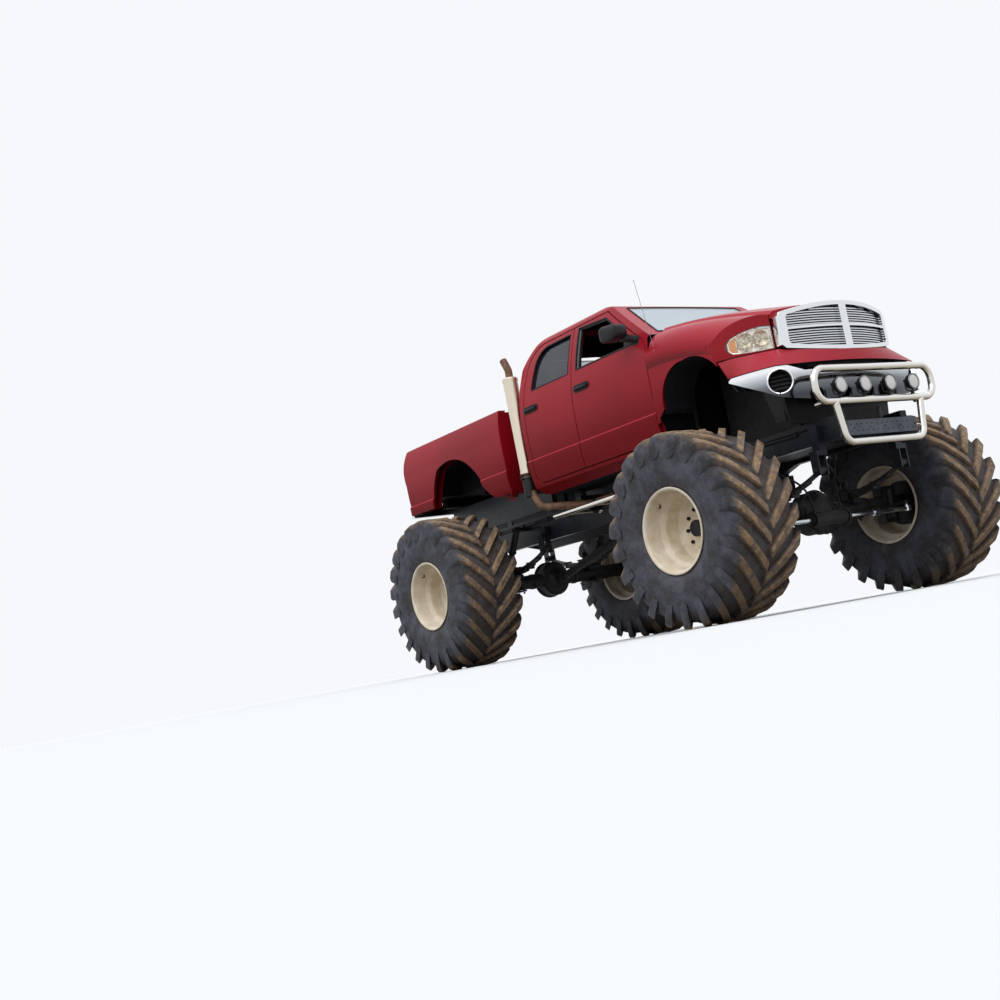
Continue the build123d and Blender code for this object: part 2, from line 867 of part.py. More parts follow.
def make_tailgate():
    gate = block(tail_x - tailgate_thick, tail_x, -tail_half, tail_half, 338, 905)
    panel = block(tail_x - tailgate_thick - 1, tail_x - tailgate_thick + 8, -tail_half + 110, tail_half - 110, 420, 800)
    pin = bar_y(tail_x - tailgate_thick / 2, tail_hinge_z, 9, -bed_wall_half - 18, bed_wall_half + 18)
    return fillet((gate - panel).edges().filter_by(Axis.Y).group_by(Axis.X)[0], 6) + pin


tailgate = make_tailgate()
tail_socket = bar_y(tail_x - tailgate_thick / 2, tail_hinge_z, 9 + seat_gap, -bed_wall_half - 30, bed_wall_half + 30)
bedsides = bedsides - tail_socket


def make_tail_lamps():
    lamp = block(-4866, -4790, -992, -900, 400, 760) & along_y(bedside_outline, -1100, 0)
    lamp = lamp & along_x(bedside_face(), -5000, -4700)
    return lamp


tail_lamp = make_tail_lamps()
bedsides = bedsides - pair(tail_lamp)
tail_lamps = pair(tail_lamp)

rear_bumper = block(rear_end, -4885, -960, 960, 178, 296)
rear_bumper = fillet(rear_bumper.edges().filter_by(Axis.Z), 28)

# Engine block, gearbox and transfer case
engine = block(-330, 480, -330, 330, -240, 620) + block(-330, 480, -349.7, 349.7, -260, -200)
engine = fillet(engine.edges().filter_by(Axis.X).group_by(Axis.Z)[-1], 60)
gearbox = bar_x(0, -215, 130, -1000, -330)
transfer = block(-1420, -1000, -170, 170, -420, -80) + block(-1260, -1160, -349.7, 349.7, -200, -150)
power_train = engine + gearbox + transfer

# Axles
tube_radius = 75
kingpin_y = 1060
yoke_reach = 130
yoke_thick = 36
pinion_length = 230


def differential_face():
    # Nose, bowl and domed cover, turned about the truck's long axis
    return outline(
        (-pinion_length, 0), (-pinion_length, 62), (-125, 66), (-92, 112), (-80, 165), (-55, 184), (70, 184), (120, 165),
        (160, 125), (180, 70), (180, 0),
    )


def make_axle(x, half, forward):
    differential = revolve(Plane.XZ * differential_face(), axis=Axis.X)
    if not forward:
        differential = Rot(0, 0, 180) * differential
    axle = bar_y(x, axle_z, tube_radius, -half, half) + Pos(x, 0, axle_z) * differential
    for sign in (-1, 1):
        pad = block(x - 110, x + 110, sign * 500 - 48, sign * 500 + 48, axle_z + 40, axle_z + tube_radius + 12)
        axle = axle + pad
    return axle


def make_front_axle():
    x = front_axle_x
    axle = make_axle(x, 925, True)
    for sign in (-1, 1):
        y = sign * kingpin_y
        for updown in (-1, 1):
            z0 = axle_z + updown * yoke_reach
            z1 = axle_z + updown * (yoke_reach + yoke_thick)
            lug = bar_z(x, y, 52, min(z0, z1), max(z0, z1))
            arm = block(x - 45, x + 45, min(sign * 900, y), max(sign * 900, y), min(z0, z1), max(z0, z1))
            axle = axle + lug + arm
        web = block(x - 45, x + 45, min(sign * 900, sign * 930), max(sign * 900, sign * 930), axle_z - yoke_reach - yoke_thick, axle_z + yoke_reach + yoke_thick)
        axle = axle + web
    barrel = bar_y(x + steer_arm, steer_z, 56, -200, 200)
    for sign in (-1, 1):
        barrel = barrel + bar_y(x + steer_arm, steer_z, 66, sign * 200 - 14, sign * 200 + 14)
    bracket = block(x + 60, x + steer_arm, -150, -110, steer_z - 30, steer_z + 30)
    bracket = bracket + mirrored(bracket)
    axle = axle + barrel + bracket
    return axle - bar_y(x + steer_arm, steer_z, steer_rod + seat_gap, -400, 400)


steer_arm = 200
steer_z = axle_z - 72
steer_rod = 22
steer_pin_y = 1020


def make_steering_rod():
    x = front_axle_x + steer_arm
    rod = bar_y(x, steer_z, steer_rod, -steer_pin_y, steer_pin_y)
    for sign in (-1, 1):
        eye = bar_z(x, sign * steer_pin_y, 36, steer_z - 24, steer_z + 24)
        stud = bar_z(x, sign * steer_pin_y, 14, steer_z, steer_z + 38)
        collar = bar_y(x, steer_z, 34, min(sign * 560, sign * 640), max(sign * 560, sign * 640))
        rod = rod + eye + stud + collar
    return rod


hub_radius = 200


def make_knuckle():
    x = front_axle_x
    y = -kingpin_y
    post = bar_z(x, y, 50, axle_z - yoke_reach + seat_gap, axle_z + yoke_reach - seat_gap)
    spindle = bar_y(x, axle_z, 78, -hub_face + 40, -kingpin_y)
    flange = bar_y(x, axle_z, hub_radius, -hub_face, -hub_face + 40)
    arm = along_z(
        outline((x, y - 35), (x + steer_arm, -steer_pin_y - 34), ((x + steer_arm + 34, -steer_pin_y), (x + steer_arm, -steer_pin_y + 34)), (x, y + 35)),
        steer_z + 38 + 1, steer_z + 38 + 31,
    )
    return post + spindle + flange + arm


front_axle = make_front_axle()
steering_rod = make_steering_rod()
knuckle_right = make_knuckle()


def make_rear_axle():
    axle = make_axle(rear_axle_x, hub_face - 30, False)
    for sign in (-1, 1):
        low, high = sorted((sign * (hub_face - 40), sign * hub_face))
        axle = axle + bar_y(rear_axle_x, axle_z, hub_radius, low, high)
    return axle


rear_axle = make_rear_axle()

# Leaf springs on the axle pads, hung from the rails
spring_y = 500
spring_width = 75
leaf_thick = 14
leaves = 4
spring_span = 640
spring_eye_z = -520
pad_top = axle_z + tube_radius + 12
shackle_top = -330


def leaf_face(x, span, level):
    # One leaf: a band between two arcs, flattest on the axle
    rise = (spring_eye_z - pad_top - leaf_thick * leaves) * (span / spring_span) ** 2
    base = pad_top + leaf_thick * (leaves - 1 - level)
    return outline(
        (x - span, base + rise), ((x, base), (x + span, base + rise)),
        (x + span, base + rise + leaf_thick), ((x, base + leaf_thick), (x - span, base + rise + leaf_thick)),
    )


def make_springs():
    springs = None
    for x in (front_axle_x, rear_axle_x):
        pack = None
        for level in range(leaves):
            leaf = along_y(leaf_face(x, spring_span - level * 130, level), -spring_y - spring_width / 2, -spring_y + spring_width / 2)
            pack = leaf if pack is None else pack + leaf
        for side in (-1, 1):
            eye_x = x + side * (spring_span + 18)
            eye = bar_y(eye_x, spring_eye_z + 5, 34, -spring_y - spring_width / 2, -spring_y + spring_width / 2)
            pack = pack + eye
        clamp = block(x - 70, x + 70, -spring_y - 46, -spring_y + 46, pad_top, pad_top + leaf_thick * leaves + 22)
        springs = pack + clamp if springs is None else springs + pack + clamp
    return pair(springs)


leaf_springs = make_springs()


def make_hangers():
    hangers = None
    for x in (front_axle_x, rear_axle_x):
        for side in (-1, 1):
            eye_x = x + side * (spring_span + 18)
            for y in (-spring_y - 38 - 14, -spring_y + 38):
                cheek = block(eye_x - 40, eye_x + 40, y, y + 13.7, spring_eye_z - 40, -360)
                hangers = cheek if hangers is None else hangers + cheek
            cap = block(eye_x - 40, eye_x + 40, -spring_y - 52, -rail_outer, -400, -360)
            hangers = hangers + cap
            low = -430 if eye_x < -300 else -300
            hangers = hangers + block(eye_x - 40, eye_x + 40, -spring_y, -rail_outer, -400, low + 140)
    return pair(hangers)


spring_hangers = make_hangers()

# Shock absorbers
shock_y = 600
shock_eye = 38


def make_shocks():
    shocks = None
    for x, lean in ((front_axle_x, -1), (rear_axle_x, 1)):
        low = (x + lean * 40, -shock_y, axle_z + 110)
        high = (x + lean * 330, -shock_y, -250)
        body = bar(low, high, 24)
        direction = Vector(high[0] - low[0], 0, high[2] - low[2]).normalized()
        mid = Vector(*low) + direction * 260
        sleeve = bar(tuple(mid), high, 38)
        low_eye = bar_y(low[0], low[2], 32, -shock_y - shock_eye, -shock_y + shock_eye)
        high_eye = bar_y(high[0], high[2], 32, -shock_y - shock_eye, -shock_y + shock_eye)
        shock = body + sleeve + low_eye + high_eye
        shocks = shock if shocks is None else shocks + shock
    return pair(shocks)


shock_absorbers = make_shocks()
for x, lean in ((front_axle_x, -1), (rear_axle_x, 1)):
    top = bar_y(x + lean * 330, -250, 24, -shock_y + shock_eye + seat_gap, -rail_outer)
    body_mounts = body_mounts + top
    low = bar_y(x + lean * 40, axle_z + 110, 22, -shock_y + shock_eye + seat_gap, -spring_y - 40)
    foot = block(x + lean * 40 - 30, x + lean * 40 + 30, -spring_y - 48, -spring_y - 30, axle_z + 40, axle_z + 130)
    if lean < 0:
        front_axle = front_axle + pair(low + foot)
    else:
        rear_axle = rear_axle + pair(low + foot)

leaf_springs = leaf_springs - front_axle - rear_axle

# Drive shafts from the transfer case to each axle nose
shaft_radius = 42


def shaft(x0, z0, x1, z1):
    tube = bar((x0, 0, z0), (x1, 0, z1), shaft_radius)
    return tube


front_nose_x = front_axle_x - pinion_length
rear_nose_x = rear_axle_x + pinion_length
shaft_front = shaft(-998, -300, front_nose_x - 12, axle_z)
shaft_rear = shaft(-1422, -300, rear_nose_x + 12, axle_z)
drive_shafts = (shaft_front + shaft_rear) - power_train - front_axle - rear_axle
cross_members = cross_members - shaft_front - shaft_rear - power_train
for x in (front_nose_x - 0.3 - 14, rear_nose_x + 0.3):
    drive_shafts = drive_shafts + bar_x(0, axle_z, 58, x, x + 14)

# Wheels: a deep dish rim and a lugged tractor tyre
rim_flange = 354
rim_seat = 334
rim_half = 316
rim_wall = 12
disc_thick = 14
wheel_bolts = 10
wheel_bolt_circle = 165
wheel_bolt_hole = 11
centre_hole = 70


def make_rim():
    # Profile from inner flange to outer flange: (along the axle, radius); the outer side is positive
    outer = [
        (-rim_half, rim_flange), (-rim_half + 14, rim_flange), (-rim_half + 20, rim_seat), (-rim_half + 95, rim_seat - 6),
        (-rim_half + 130, rim_seat - 44), (rim_half - 200, rim_seat - 44), (rim_half - 165, rim_seat - 6),
        (rim_half - 20, rim_seat), (rim_half - 14, rim_flange), (rim_half, rim_flange),
    ]
    inner = [
        (rim_half, rim_flange - 12), (rim_half - 6, rim_seat - rim_wall), (rim_half - 160, rim_seat - 6 - rim_wall),
        (rim_half - 195, rim_seat - 44 - rim_wall), (disc_offset + disc_thick, rim_seat - 44 - rim_wall),
        (disc_offset + disc_thick, centre_hole), (disc_offset, centre_hole), (disc_offset, rim_seat - 44 - rim_wall),
        (-rim_half + 127, rim_seat - 44 - rim_wall), (-rim_half + 92, rim_seat - 6 - rim_wall),
        (-rim_half + 6, rim_seat - rim_wall), (-rim_half, rim_flange - 12),
    ]
    profile = make_face(Polyline(*(outer + inner), close=True))
    rim = revolve(profile, axis=Axis.X)
    for k in range(wheel_bolts):
        angle = 2 * pi * k / wheel_bolts
        y = wheel_bolt_circle * cos(angle)
        z = wheel_bolt_circle * sin(angle)
        rim = rim - bar_x(y, z, wheel_bolt_hole, disc_offset - 5, disc_offset + disc_thick + 5)
    # the wheel's own axis is X here; turn it so that its outer side faces away from the truck
    return Rot(0, 0, -90) * rim


rim_shape = make_rim()
sectors = 22
lug_height = 40
crown_radius = tyre_radius - lug_height
tyre_inner = (rim_seat + seat_gap) / cos(pi / sectors)


def ring_point(y, radius, k):
    angle = 2 * pi * k / sectors
    return Vector(radius * sin(angle), y, radius * cos(angle))


def make_carcass():
    # Closed profile round the section: (across, radius)
    profile = [
        (-295, crown_radius - 6), (295, crown_radius - 6), (352, crown_radius - 78), (350, 480),
        (rim_half - 22, rim_flange + 12), (rim_half - 22, tyre_inner), (-rim_half + 22, tyre_inner),
        (-rim_half + 22, rim_flange + 12), (-350, 480), (-352, crown_radius - 78),
    ]
    faces = []
    count = len(profile)
    for k in range(sectors):
        for i in range(count):
            y0, r0 = profile[i]
            y1, r1 = profile[(i + 1) % count]
            corners = [ring_point(y0, r0, k), ring_point(y1, r1, k), ring_point(y1, r1, k + 1), ring_point(y0, r0, k + 1)]
            faces.append(Face(Wire.make_polygon(corners, close=True)))
    return Solid(Shell(faces))


def make_lug():
    # One bar on the crown: near the middle it leads, at the shoulder it trails
    half_width = 30
    base = crown_radius - 70
    top = tyre_radius
    centre = (15, 0.0)
    shoulder = (330, -0.42)
    corners = []
    for y, turn in (centre, shoulder):
        for offset_along in (-half_width, half_width):
            corners.append((y, turn + offset_along / top))
    order = [corners[0], corners[2], corners[3], corners[1]]
    low = [Vector(base * sin(a), y, base * cos(a)) for y, a in order]
    high = [Vector(top * sin(a), y, top * cos(a)) for y, a in order]
    faces = []
    for ring in (low, high):
        faces.append(Face(Wire.make_polygon([ring[0], ring[1], ring[2]], close=True)))
        faces.append(Face(Wire.make_polygon([ring[0], ring[2], ring[3]], close=True)))
    for i in range(4):
        j = (i + 1) % 4
        faces.append(Face(Wire.make_polygon([low[i], low[j], high[j]], close=True)))
        faces.append(Face(Wire.make_polygon([low[i], high[j], high[i]], close=True)))
    return Solid(Shell(faces))


def make_tyre():
    tyre = make_carcass()
    lug = make_lug()
    other = mirrored(lug)
    lugs = []
    for k in range(sectors):
        step = 360 / sectors
        lugs.append(Rot(0, step * k, 0) * lug)
        lugs.append(Rot(0, step * (k + 0.5), 0) * other)
    return tyre + lugs


tyre_shape = make_tyre()

wheel_places = {
    "front_right": (front_axle_x, -1),
    "front_left": (front_axle_x, 1),
    "rear_right": (rear_axle_x, -1),
    "rear_left": (rear_axle_x, 1),
}
wheels = {}
for corner, (x, side) in wheel_places.items():
    at = Pos(x, side * half_track, axle_z)
    wheels[f"rim_{corner}"] = at * (rim_shape if side < 0 else mirrored(rim_shape))
    wheels[f"tyre_{corner}"] = at * tyre_shape

# Exhaust stacks, step bars, front beam and cooler
stack_x = -2590
stack_y = 955


pipe_radius = 38
pipe_z = -222
pipe_y = 600
shield_low = 204
shield_high = 1180


def make_shields():
    cone = Pos(stack_x, -stack_y, (shield_low + shield_high) / 2) * Cone(62, 78, shield_high - shield_low)
    return pair(cone - bar_z(stack_x, -stack_y, pipe_radius + seat_gap, 150, 1250))


def make_pipes():
    route = [
        (-1560, -pipe_y, pipe_z), (-2100, -pipe_y, pipe_z), (-2480, -stack_y + 30, pipe_z + 60),
        (stack_x, -stack_y, 60), (stack_x, -stack_y, 1270), (stack_x - 60, -stack_y, 1385),
    ]
    pipe = bent_tube(route, pipe_radius, [150, 90, 70, 90])
    clamp = bar_z(stack_x, -stack_y, 58, shield_low - 60, shield_low - seat_gap)
    return pair(pipe + clamp)


exhaust_pipes = make_pipes()
shields = make_shields()


step_y = 900
step_radius = 24


def make_steps():
    tube = bar((-2330, -step_y, -290), (-1150, -step_y, -275), step_radius)
    for x in (-2200, -1700, -1250):
        tube = tube + bar_y(x, -288, 14, -step_y, -rail_outer - seat_gap)
    return pair(tube)


step_bars = make_steps()
pipe_hanger = block(-1830, -1770, -pipe_y + pipe_radius + seat_gap, -rail_outer, pipe_z - 10, pipe_z + 10)
body_mounts = pair(body_mounts + pipe_hanger)

front_beam = block(beam_x - 9, beam_x + 9, -rail_outer, rail_outer, -302, -180)
front_beam = front_beam + pair(block(rail_front + seat_gap, beam_x, -rail_outer, -rail_outer + 14, -300, -178 - seat_gap))
for k in range(-6, 7):
    for z in (-215, -268):
        front_beam = front_beam - bar_x(k * 62, z, 6, 1010, 1050)
oil_cooler = block(965, 1012, -420, 60, -178, -66)

pieces = {
    "rail_right": frame_rail,
    "rail_left": mirrored(frame_rail),
    "cross_members": cross_members,
    "body_mounts": body_mounts,
    "spring_hangers": spring_hangers,
    "front_beam": front_beam,
    "oil_cooler": oil_cooler,
    "power_train": power_train,
    "drive_shafts": drive_shafts,
    "cab_shell": cab_shell,
    "door_front_right": door_front,
    "door_front_left": mirrored(door_front),
    "door_rear_right": door_rear,
    "door_rear_left": mirrored(door_rear),
    "door_trim_front_right": handle_front + mirror_right,
    "door_trim_front_left": mirrored(handle_front + mirror_right),
    "handle_rear_right": handle_rear,
    "handle_rear_left": mirrored(handle_rear),
    "fixed_glass": fixed_glass,
    "glass_front_left": mirrored(glass_front),
    "glass_rear_right": glass_rear,
    "glass_rear_left": mirrored(glass_rear),
    "interior": interior,
    "hood": hood,
    "fenders": pair(fender_right),
    "inner_front": inner_front,
    "radiator_support": radiator_support,
    "headlamps": headlamps,
    "grille_surround": grille_surround,
    "grille_bars": grille_bars,
    "bumper_cover": bumper_cover,
    "front_bumper": front_bumper,
    "bull_bar": bull_bar,
    "spot_lamps": spot_lamps,
    "bed_tub": bed_tub,
    "bedsides": bedsides,
    "tailgate": tailgate,
    "tail_lamps": tail_lamps,
    "rear_bumper": rear_bumper,
    "exhaust_shields": shields,
    "exhaust_pipes": exhaust_pipes,
    "step_bars": step_bars,
    "front_axle": front_axle,
    "rear_axle": rear_axle,
    "steering_rod": steering_rod,
    "knuckle_right": knuckle_right,
    "knuckle_left": mirrored(knuckle_right),
    "leaf_springs": leaf_springs,
    "shock_absorbers": shock_absorbers,
}
pieces.update(wheels)

# The truck stands on its lowest lug tips
ground = axle_z + tyre_shape.bounding_box().min.Z
place = Pos(-(front_end + rear_end) / 2, 0, -ground)
print("ground", ground)
os.makedirs("parts", exist_ok=True)
for name, shape in pieces.items():
    export_step(place * shape, f"parts/{name}.step")
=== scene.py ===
# Monster truck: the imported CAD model, dressed for a photograph
import math

import bpy
from mathutils import Matrix, Vector


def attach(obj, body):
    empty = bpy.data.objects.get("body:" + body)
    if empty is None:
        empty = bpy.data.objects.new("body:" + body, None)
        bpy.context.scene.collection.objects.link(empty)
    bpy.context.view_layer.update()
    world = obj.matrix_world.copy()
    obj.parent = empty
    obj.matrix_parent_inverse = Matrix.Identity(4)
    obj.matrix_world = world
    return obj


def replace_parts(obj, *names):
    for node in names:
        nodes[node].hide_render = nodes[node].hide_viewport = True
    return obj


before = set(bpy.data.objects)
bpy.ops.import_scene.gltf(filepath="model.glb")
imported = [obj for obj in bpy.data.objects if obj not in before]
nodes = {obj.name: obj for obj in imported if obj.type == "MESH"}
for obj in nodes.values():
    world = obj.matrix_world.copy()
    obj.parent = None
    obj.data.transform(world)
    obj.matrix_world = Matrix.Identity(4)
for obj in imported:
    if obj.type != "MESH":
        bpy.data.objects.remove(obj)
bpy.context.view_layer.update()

# The drawing measures from the front arch and the sill; the truck stands with its box centred
bodyShift = Vector((1.93, 0.0, 1.589658))
axleHeight = 0.794658
frontAxle = 2.018
rearAxle = -1.85
halfTrack = 1.288
sides = (("Right", -1), ("Left", 1))


def place(x, y, z):
    return Vector((x, y, z)) + bodyShift  # from the drawing's metres to the truck's


# Selection and finishing helpers
def clearSelection():
    bpy.ops.object.select_all(action="DESELECT")


def selectOnly(piece):
    clearSelection()
    piece.select_set(True)
    bpy.context.view_layer.objects.active = piece


def editMode(piece):
    selectOnly(piece)
    bpy.ops.object.mode_set(mode="EDIT")
    bpy.ops.mesh.select_all(action="SELECT")


def objectMode():
    bpy.ops.object.mode_set(mode="OBJECT")


def fixPlace(piece):
    selectOnly(piece)
    bpy.ops.object.transform_apply(location=True, rotation=True, scale=True)


def addModifier(piece, kind, **settings):
    selectOnly(piece)
    modifier = piece.modifiers.new(kind.title(), kind)
    for key, value in settings.items():
        setattr(modifier, key, value)
    bpy.ops.object.modifier_apply(modifier=modifier.name)


def breakEdges(piece, width, segments, angle):
    addModifier(piece, "BEVEL", width=width, segments=segments, limit_method="ANGLE",
                angle_limit=math.radians(angle))


def smoothShade(piece, angle=35):
    selectOnly(piece)
    bpy.ops.object.shade_smooth_by_angle(angle=math.radians(angle))


def faceOut(piece):
    editMode(piece)
    bpy.ops.mesh.remove_doubles(threshold=0.00002)
    bpy.ops.mesh.normals_make_consistent(inside=False)
    objectMode()


def extrude(step):
    bpy.ops.mesh.extrude_region_move(TRANSFORM_OT_translate={"value": step})


def joinPieces(pieces, name):
    clearSelection()
    for piece in pieces:
        piece.select_set(True)
    bpy.context.view_layer.objects.active = pieces[0]
    if len(pieces) > 1:
        bpy.ops.object.join()
    joined = bpy.context.object
    joined.name = name
    joined.data.name = name
    return joined


def copyPiece(piece, name):
    twin = piece.copy()
    twin.data = piece.data.copy()
    twin.name = name
    twin.data.name = name
    bpy.context.scene.collection.objects.link(twin)
    return twin


def mirrorAcross(piece, name):
    twin = copyPiece(piece, name)
    twin.data.transform(Matrix.Scale(-1, 4, (0, 1, 0)))
    editMode(twin)
    bpy.ops.mesh.flip_normals()
    objectMode()
    return twin


def bothSides(piece, name):
    return joinPieces([piece, mirrorAcross(piece, name + "Left")], name)


def moved(vector):
    return Matrix.Translation(vector)


def turnAbout(axis, degrees):
    return Matrix.Rotation(math.radians(degrees), 4, axis)


def aimed(direction):
    return Vector(direction).to_track_quat("Z", "Y").to_matrix().to_4x4()  # turns +Z to a direction


def repeated(piece, moves, name):
    # The pattern piece is copied by each move, and isn't kept itself
    copies = []
    for index, move in enumerate(moves):
        twin = copyPiece(piece, name + str(index))
        twin.data.transform(move)
        copies.append(twin)
    bpy.data.objects.remove(piece)
    return joinPieces(copies, name)


def dress(piece, finish, body):
    if finish is not None:
        piece.data.materials.clear()
        piece.data.materials.append(materials[finish])
    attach(piece, body)
    return piece


def fit(piece, finish, body, both=False):
    # From the drawing's metres to the truck's, on both sides where asked
    if both:
        piece = bothSides(piece, piece.name)
    piece.data.transform(moved(bodyShift))
    return dress(piece, finish, body)


# Basic pieces, made from a first ring, plate, cube or curve
def circlePiece(name, count, radius, fill):
    clearSelection()
    bpy.ops.mesh.primitive_circle_add(vertices=count, radius=radius, fill_type=fill)
    piece = bpy.context.object
    piece.name = name
    return piece


def turnedPiece(name, rows, segments=64, axis="Y", centre=(0, 0, 0), closed=False, flip=1):
    # rows hold (along the axis, radius); each ring is extruded from the last and resized
    along, radius = rows[0]
    piece = circlePiece(name, segments, radius, "NOTHING")
    bpy.ops.object.mode_set(mode="EDIT")
    bpy.ops.mesh.select_mode(type="VERT")
    bpy.ops.mesh.select_all(action="SELECT")
    bpy.ops.transform.translate(value=(0, 0, along))
    if not closed:
        bpy.ops.mesh.edge_face_add()
    for nextAlong, nextRadius in rows[1:] + ([rows[0]] if closed else []):
        extrude((0, 0, nextAlong - along))
        scale = nextRadius / radius
        bpy.ops.transform.resize(value=(scale, scale, 1), center_override=(0, 0, nextAlong))
        along, radius = nextAlong, nextRadius
    if not closed:
        bpy.ops.mesh.edge_face_add()
    objectMode()
    faceOut(piece)
    turns = {"X": (0, math.pi / 2 * flip, 0), "Y": (-math.pi / 2 * flip, 0, 0), "Z": (0, 0, 0)}
    piece.rotation_euler = turns[axis]
    piece.location = centre
    fixPlace(piece)
    return piece


def sweptPiece(name, rings, taper=1.0):
    # rings hold (centre, half width, half height) along Y; each ring is extruded from the last and resized
    centre, wide, high = rings[0]
    clearSelection()
    bpy.ops.mesh.primitive_plane_add(size=2)
    piece = bpy.context.object
    piece.name = name
    for vertex in piece.data.vertices:
        vertex.co.x *= taper if vertex.co.y > 0 else 1.0
    piece.scale = (wide, high, 1)
    piece.rotation_euler = (math.pi / 2, 0, 0)
    piece.location = centre
    fixPlace(piece)
    editMode(piece)
    for nextCentre, nextWide, nextHigh in rings[1:]:
        extrude(Vector(nextCentre) - Vector(centre))
        scale = (nextWide / wide, 1, nextHigh / high)
        bpy.ops.transform.resize(value=scale, center_override=nextCentre)
        centre, wide, high = nextCentre, nextWide, nextHigh
    objectMode()
    faceOut(piece)
    return piece


def flatPiece(name, points, thickness, direction, bevel=0.0):
    # A plate from its corners, pushed to its thickness
    piece = circlePiece(name, len(points), 1, "NGON")
    for vertex, point in zip(piece.data.vertices, points):
        vertex.co = point
    editMode(piece)
    extrude(Vector(direction) * thickness)
    objectMode()
    faceOut(piece)
    if bevel:
        breakEdges(piece, bevel, 2, 50)
    return piece


def blockPiece(name, low, high, bevel=0.002, segments=1):
    # A block between two corners with its edges broken
    clearSelection()
    middle = (Vector(low) + Vector(high)) / 2
    size = Vector(high) - Vector(low)
    bpy.ops.mesh.primitive_cube_add(size=1, location=middle, scale=size)
    piece = bpy.context.object
    piece.name = name
    fixPlace(piece)
    if bevel:
        editMode(piece)
        bpy.ops.mesh.bevel(offset=bevel, segments=segments, affect="EDGES")
        objectMode()
    return piece


def softBlock(name, low, high, bevel, segments=5):
    piece = blockPiece(name, low, high, bevel, segments)
    smoothShade(piece, 50)
    return piece


def curvePiece(name, points, radius, kind, closed, sections):
    # A round section along a curve, made a mesh
    curve = bpy.data.curves.new(name, "CURVE")
    curve.dimensions = "3D"
    curve.bevel_depth = radius
    curve.bevel_resolution = sections
    curve.use_fill_caps = True
    spline = curve.splines.new(kind)
    spline.points.add(len(points) - 1)
    for point, spot in zip(spline.points, points):
        point.co = (*spot, 1)
    spline.use_cyclic_u = closed
    piece = bpy.data.objects.new(name, curve)
    bpy.context.scene.collection.objects.link(piece)
    return piece


def meshFrom(piece):
    selectOnly(piece)
    bpy.ops.object.convert(target="MESH")
    return bpy.context.object


def tubePiece(name, points, radius, order=3, resolution=10, sections=2):
    piece = curvePiece(name, points, radius, "NURBS", False, sections)
    spline = piece.data.splines[0]
    spline.order_u = order
    spline.use_endpoint_u = True
    spline.resolution_u = resolution
    return meshFrom(piece)


def outlineTube(name, points, radius, closed=True, sections=3):
    # A round rubber or bar that turns sharply at each point
    piece = meshFrom(curvePiece(name, points, radius, "POLY", closed, sections))
    smoothShade(piece, 50)
    return piece


def torusPiece(name, major, minor, around, across):
    clearSelection()
    bpy.ops.mesh.primitive_torus_add(major_radius=major, minor_radius=minor, major_segments=around,
                                     minor_segments=across)
    piece = bpy.context.object
    piece.name = name
    return piece


def hexNut(name, radius, height):
    nut = circlePiece(name, 6, radius, "NGON")
    editMode(nut)
    extrude((0, 0, height * 0.82))
    extrude((0, 0, height * 0.18))
    bpy.ops.transform.resize(value=(0.86, 0.86, 1), center_override=(0, 0, height))
    bpy.ops.mesh.inset(thickness=radius * 0.36)
    extrude((0, 0, height * 0.35))
    objectMode()
    faceOut(nut)
    return nut


def nutAt(name, radius, height, spot, direction):
    nut = hexNut(name, radius, height)
    nut.data.transform(moved(spot) @ aimed(direction))
    return nut


def fixings(name, spots, radius, height, direction, finish):
    # Nuts on the truck at the given spots, all facing one way
    turn = aimed(direction)
    nuts = repeated(hexNut(name, radius, height), [moved(spot) @ turn for spot in spots], name)
    return dress(nuts, finish, "truck")


def between(table, key):
    # Straight-line value from a table of (key, value) rows
    for (low, a), (high, b) in zip(table, table[1:]):
        if key <= high:
            return a + (b - a) * max(key - low, 0) / (high - low)
    return table[-1][1]


def circleThrough(a, b, c):
    (ax, ay), (bx, by), (cx, cy) = a, b, c
    aa, bb, cc = ax * ax + ay * ay, bx * bx + by * by, cx * cx + cy * cy
    d = 2 * (ax * (by - cy) + bx * (cy - ay) + cx * (ay - by))
    x = (aa * (by - cy) + bb * (cy - ay) + cc * (ay - by)) / d
    y = (aa * (cx - bx) + bb * (ax - cx) + cc * (bx - ax)) / d
    return x, y, math.hypot(ax - x, ay - y)


# Colours and nodes
materials = {}


def hexColour(code):
    channels = [int(code[i:i + 2], 16) / 255 for i in (1, 3, 5)]
    return [c / 12.92 if c <= 0.04045 else ((c + 0.055) / 1.055) ** 2.4 for c in channels] + [1.0]


def setInputs(node, values):
    for key, value in values.items():
        node.inputs[key].default_value = hexColour(value) if isinstance(value, str) else value


def linkInputs(owner, node, links):
    # Each input's source is a node, or a node with its output; a mix gives its colour on output 2
    for key, source in links.items():
        if not isinstance(source, tuple):
            source = (source, 2 if source.bl_idname == "ShaderNodeMix" else 0)
        owner.node_tree.links.new(source[0].outputs[source[1]], node.inputs[key])


def addNode(owner, kind, settings=None, links=None):
    # settings name properties and inputs, a ramp's stops, or a span: from least, most, to least, most
    node = owner.node_tree.nodes.new("ShaderNode" + kind)
    settings = dict(settings or {})
    stops = settings.pop("stops", [])
    settings.update(enumerate(settings.pop("span", ()), 1))
    inputs = {key: value for key, value in settings.items() if isinstance(key, int) or key in node.inputs}
    for key in settings.keys() - inputs.keys():
        setattr(node, key, settings[key])
    setInputs(node, inputs)
    if stops:
        elements = node.color_ramp.elements
        while len(elements) < len(stops):
            elements.new(0.5)
        for element, (position, colour) in zip(elements, stops):
            element.position = position
            element.color = hexColour(colour)
    linkInputs(owner, node, links or {})
    return node


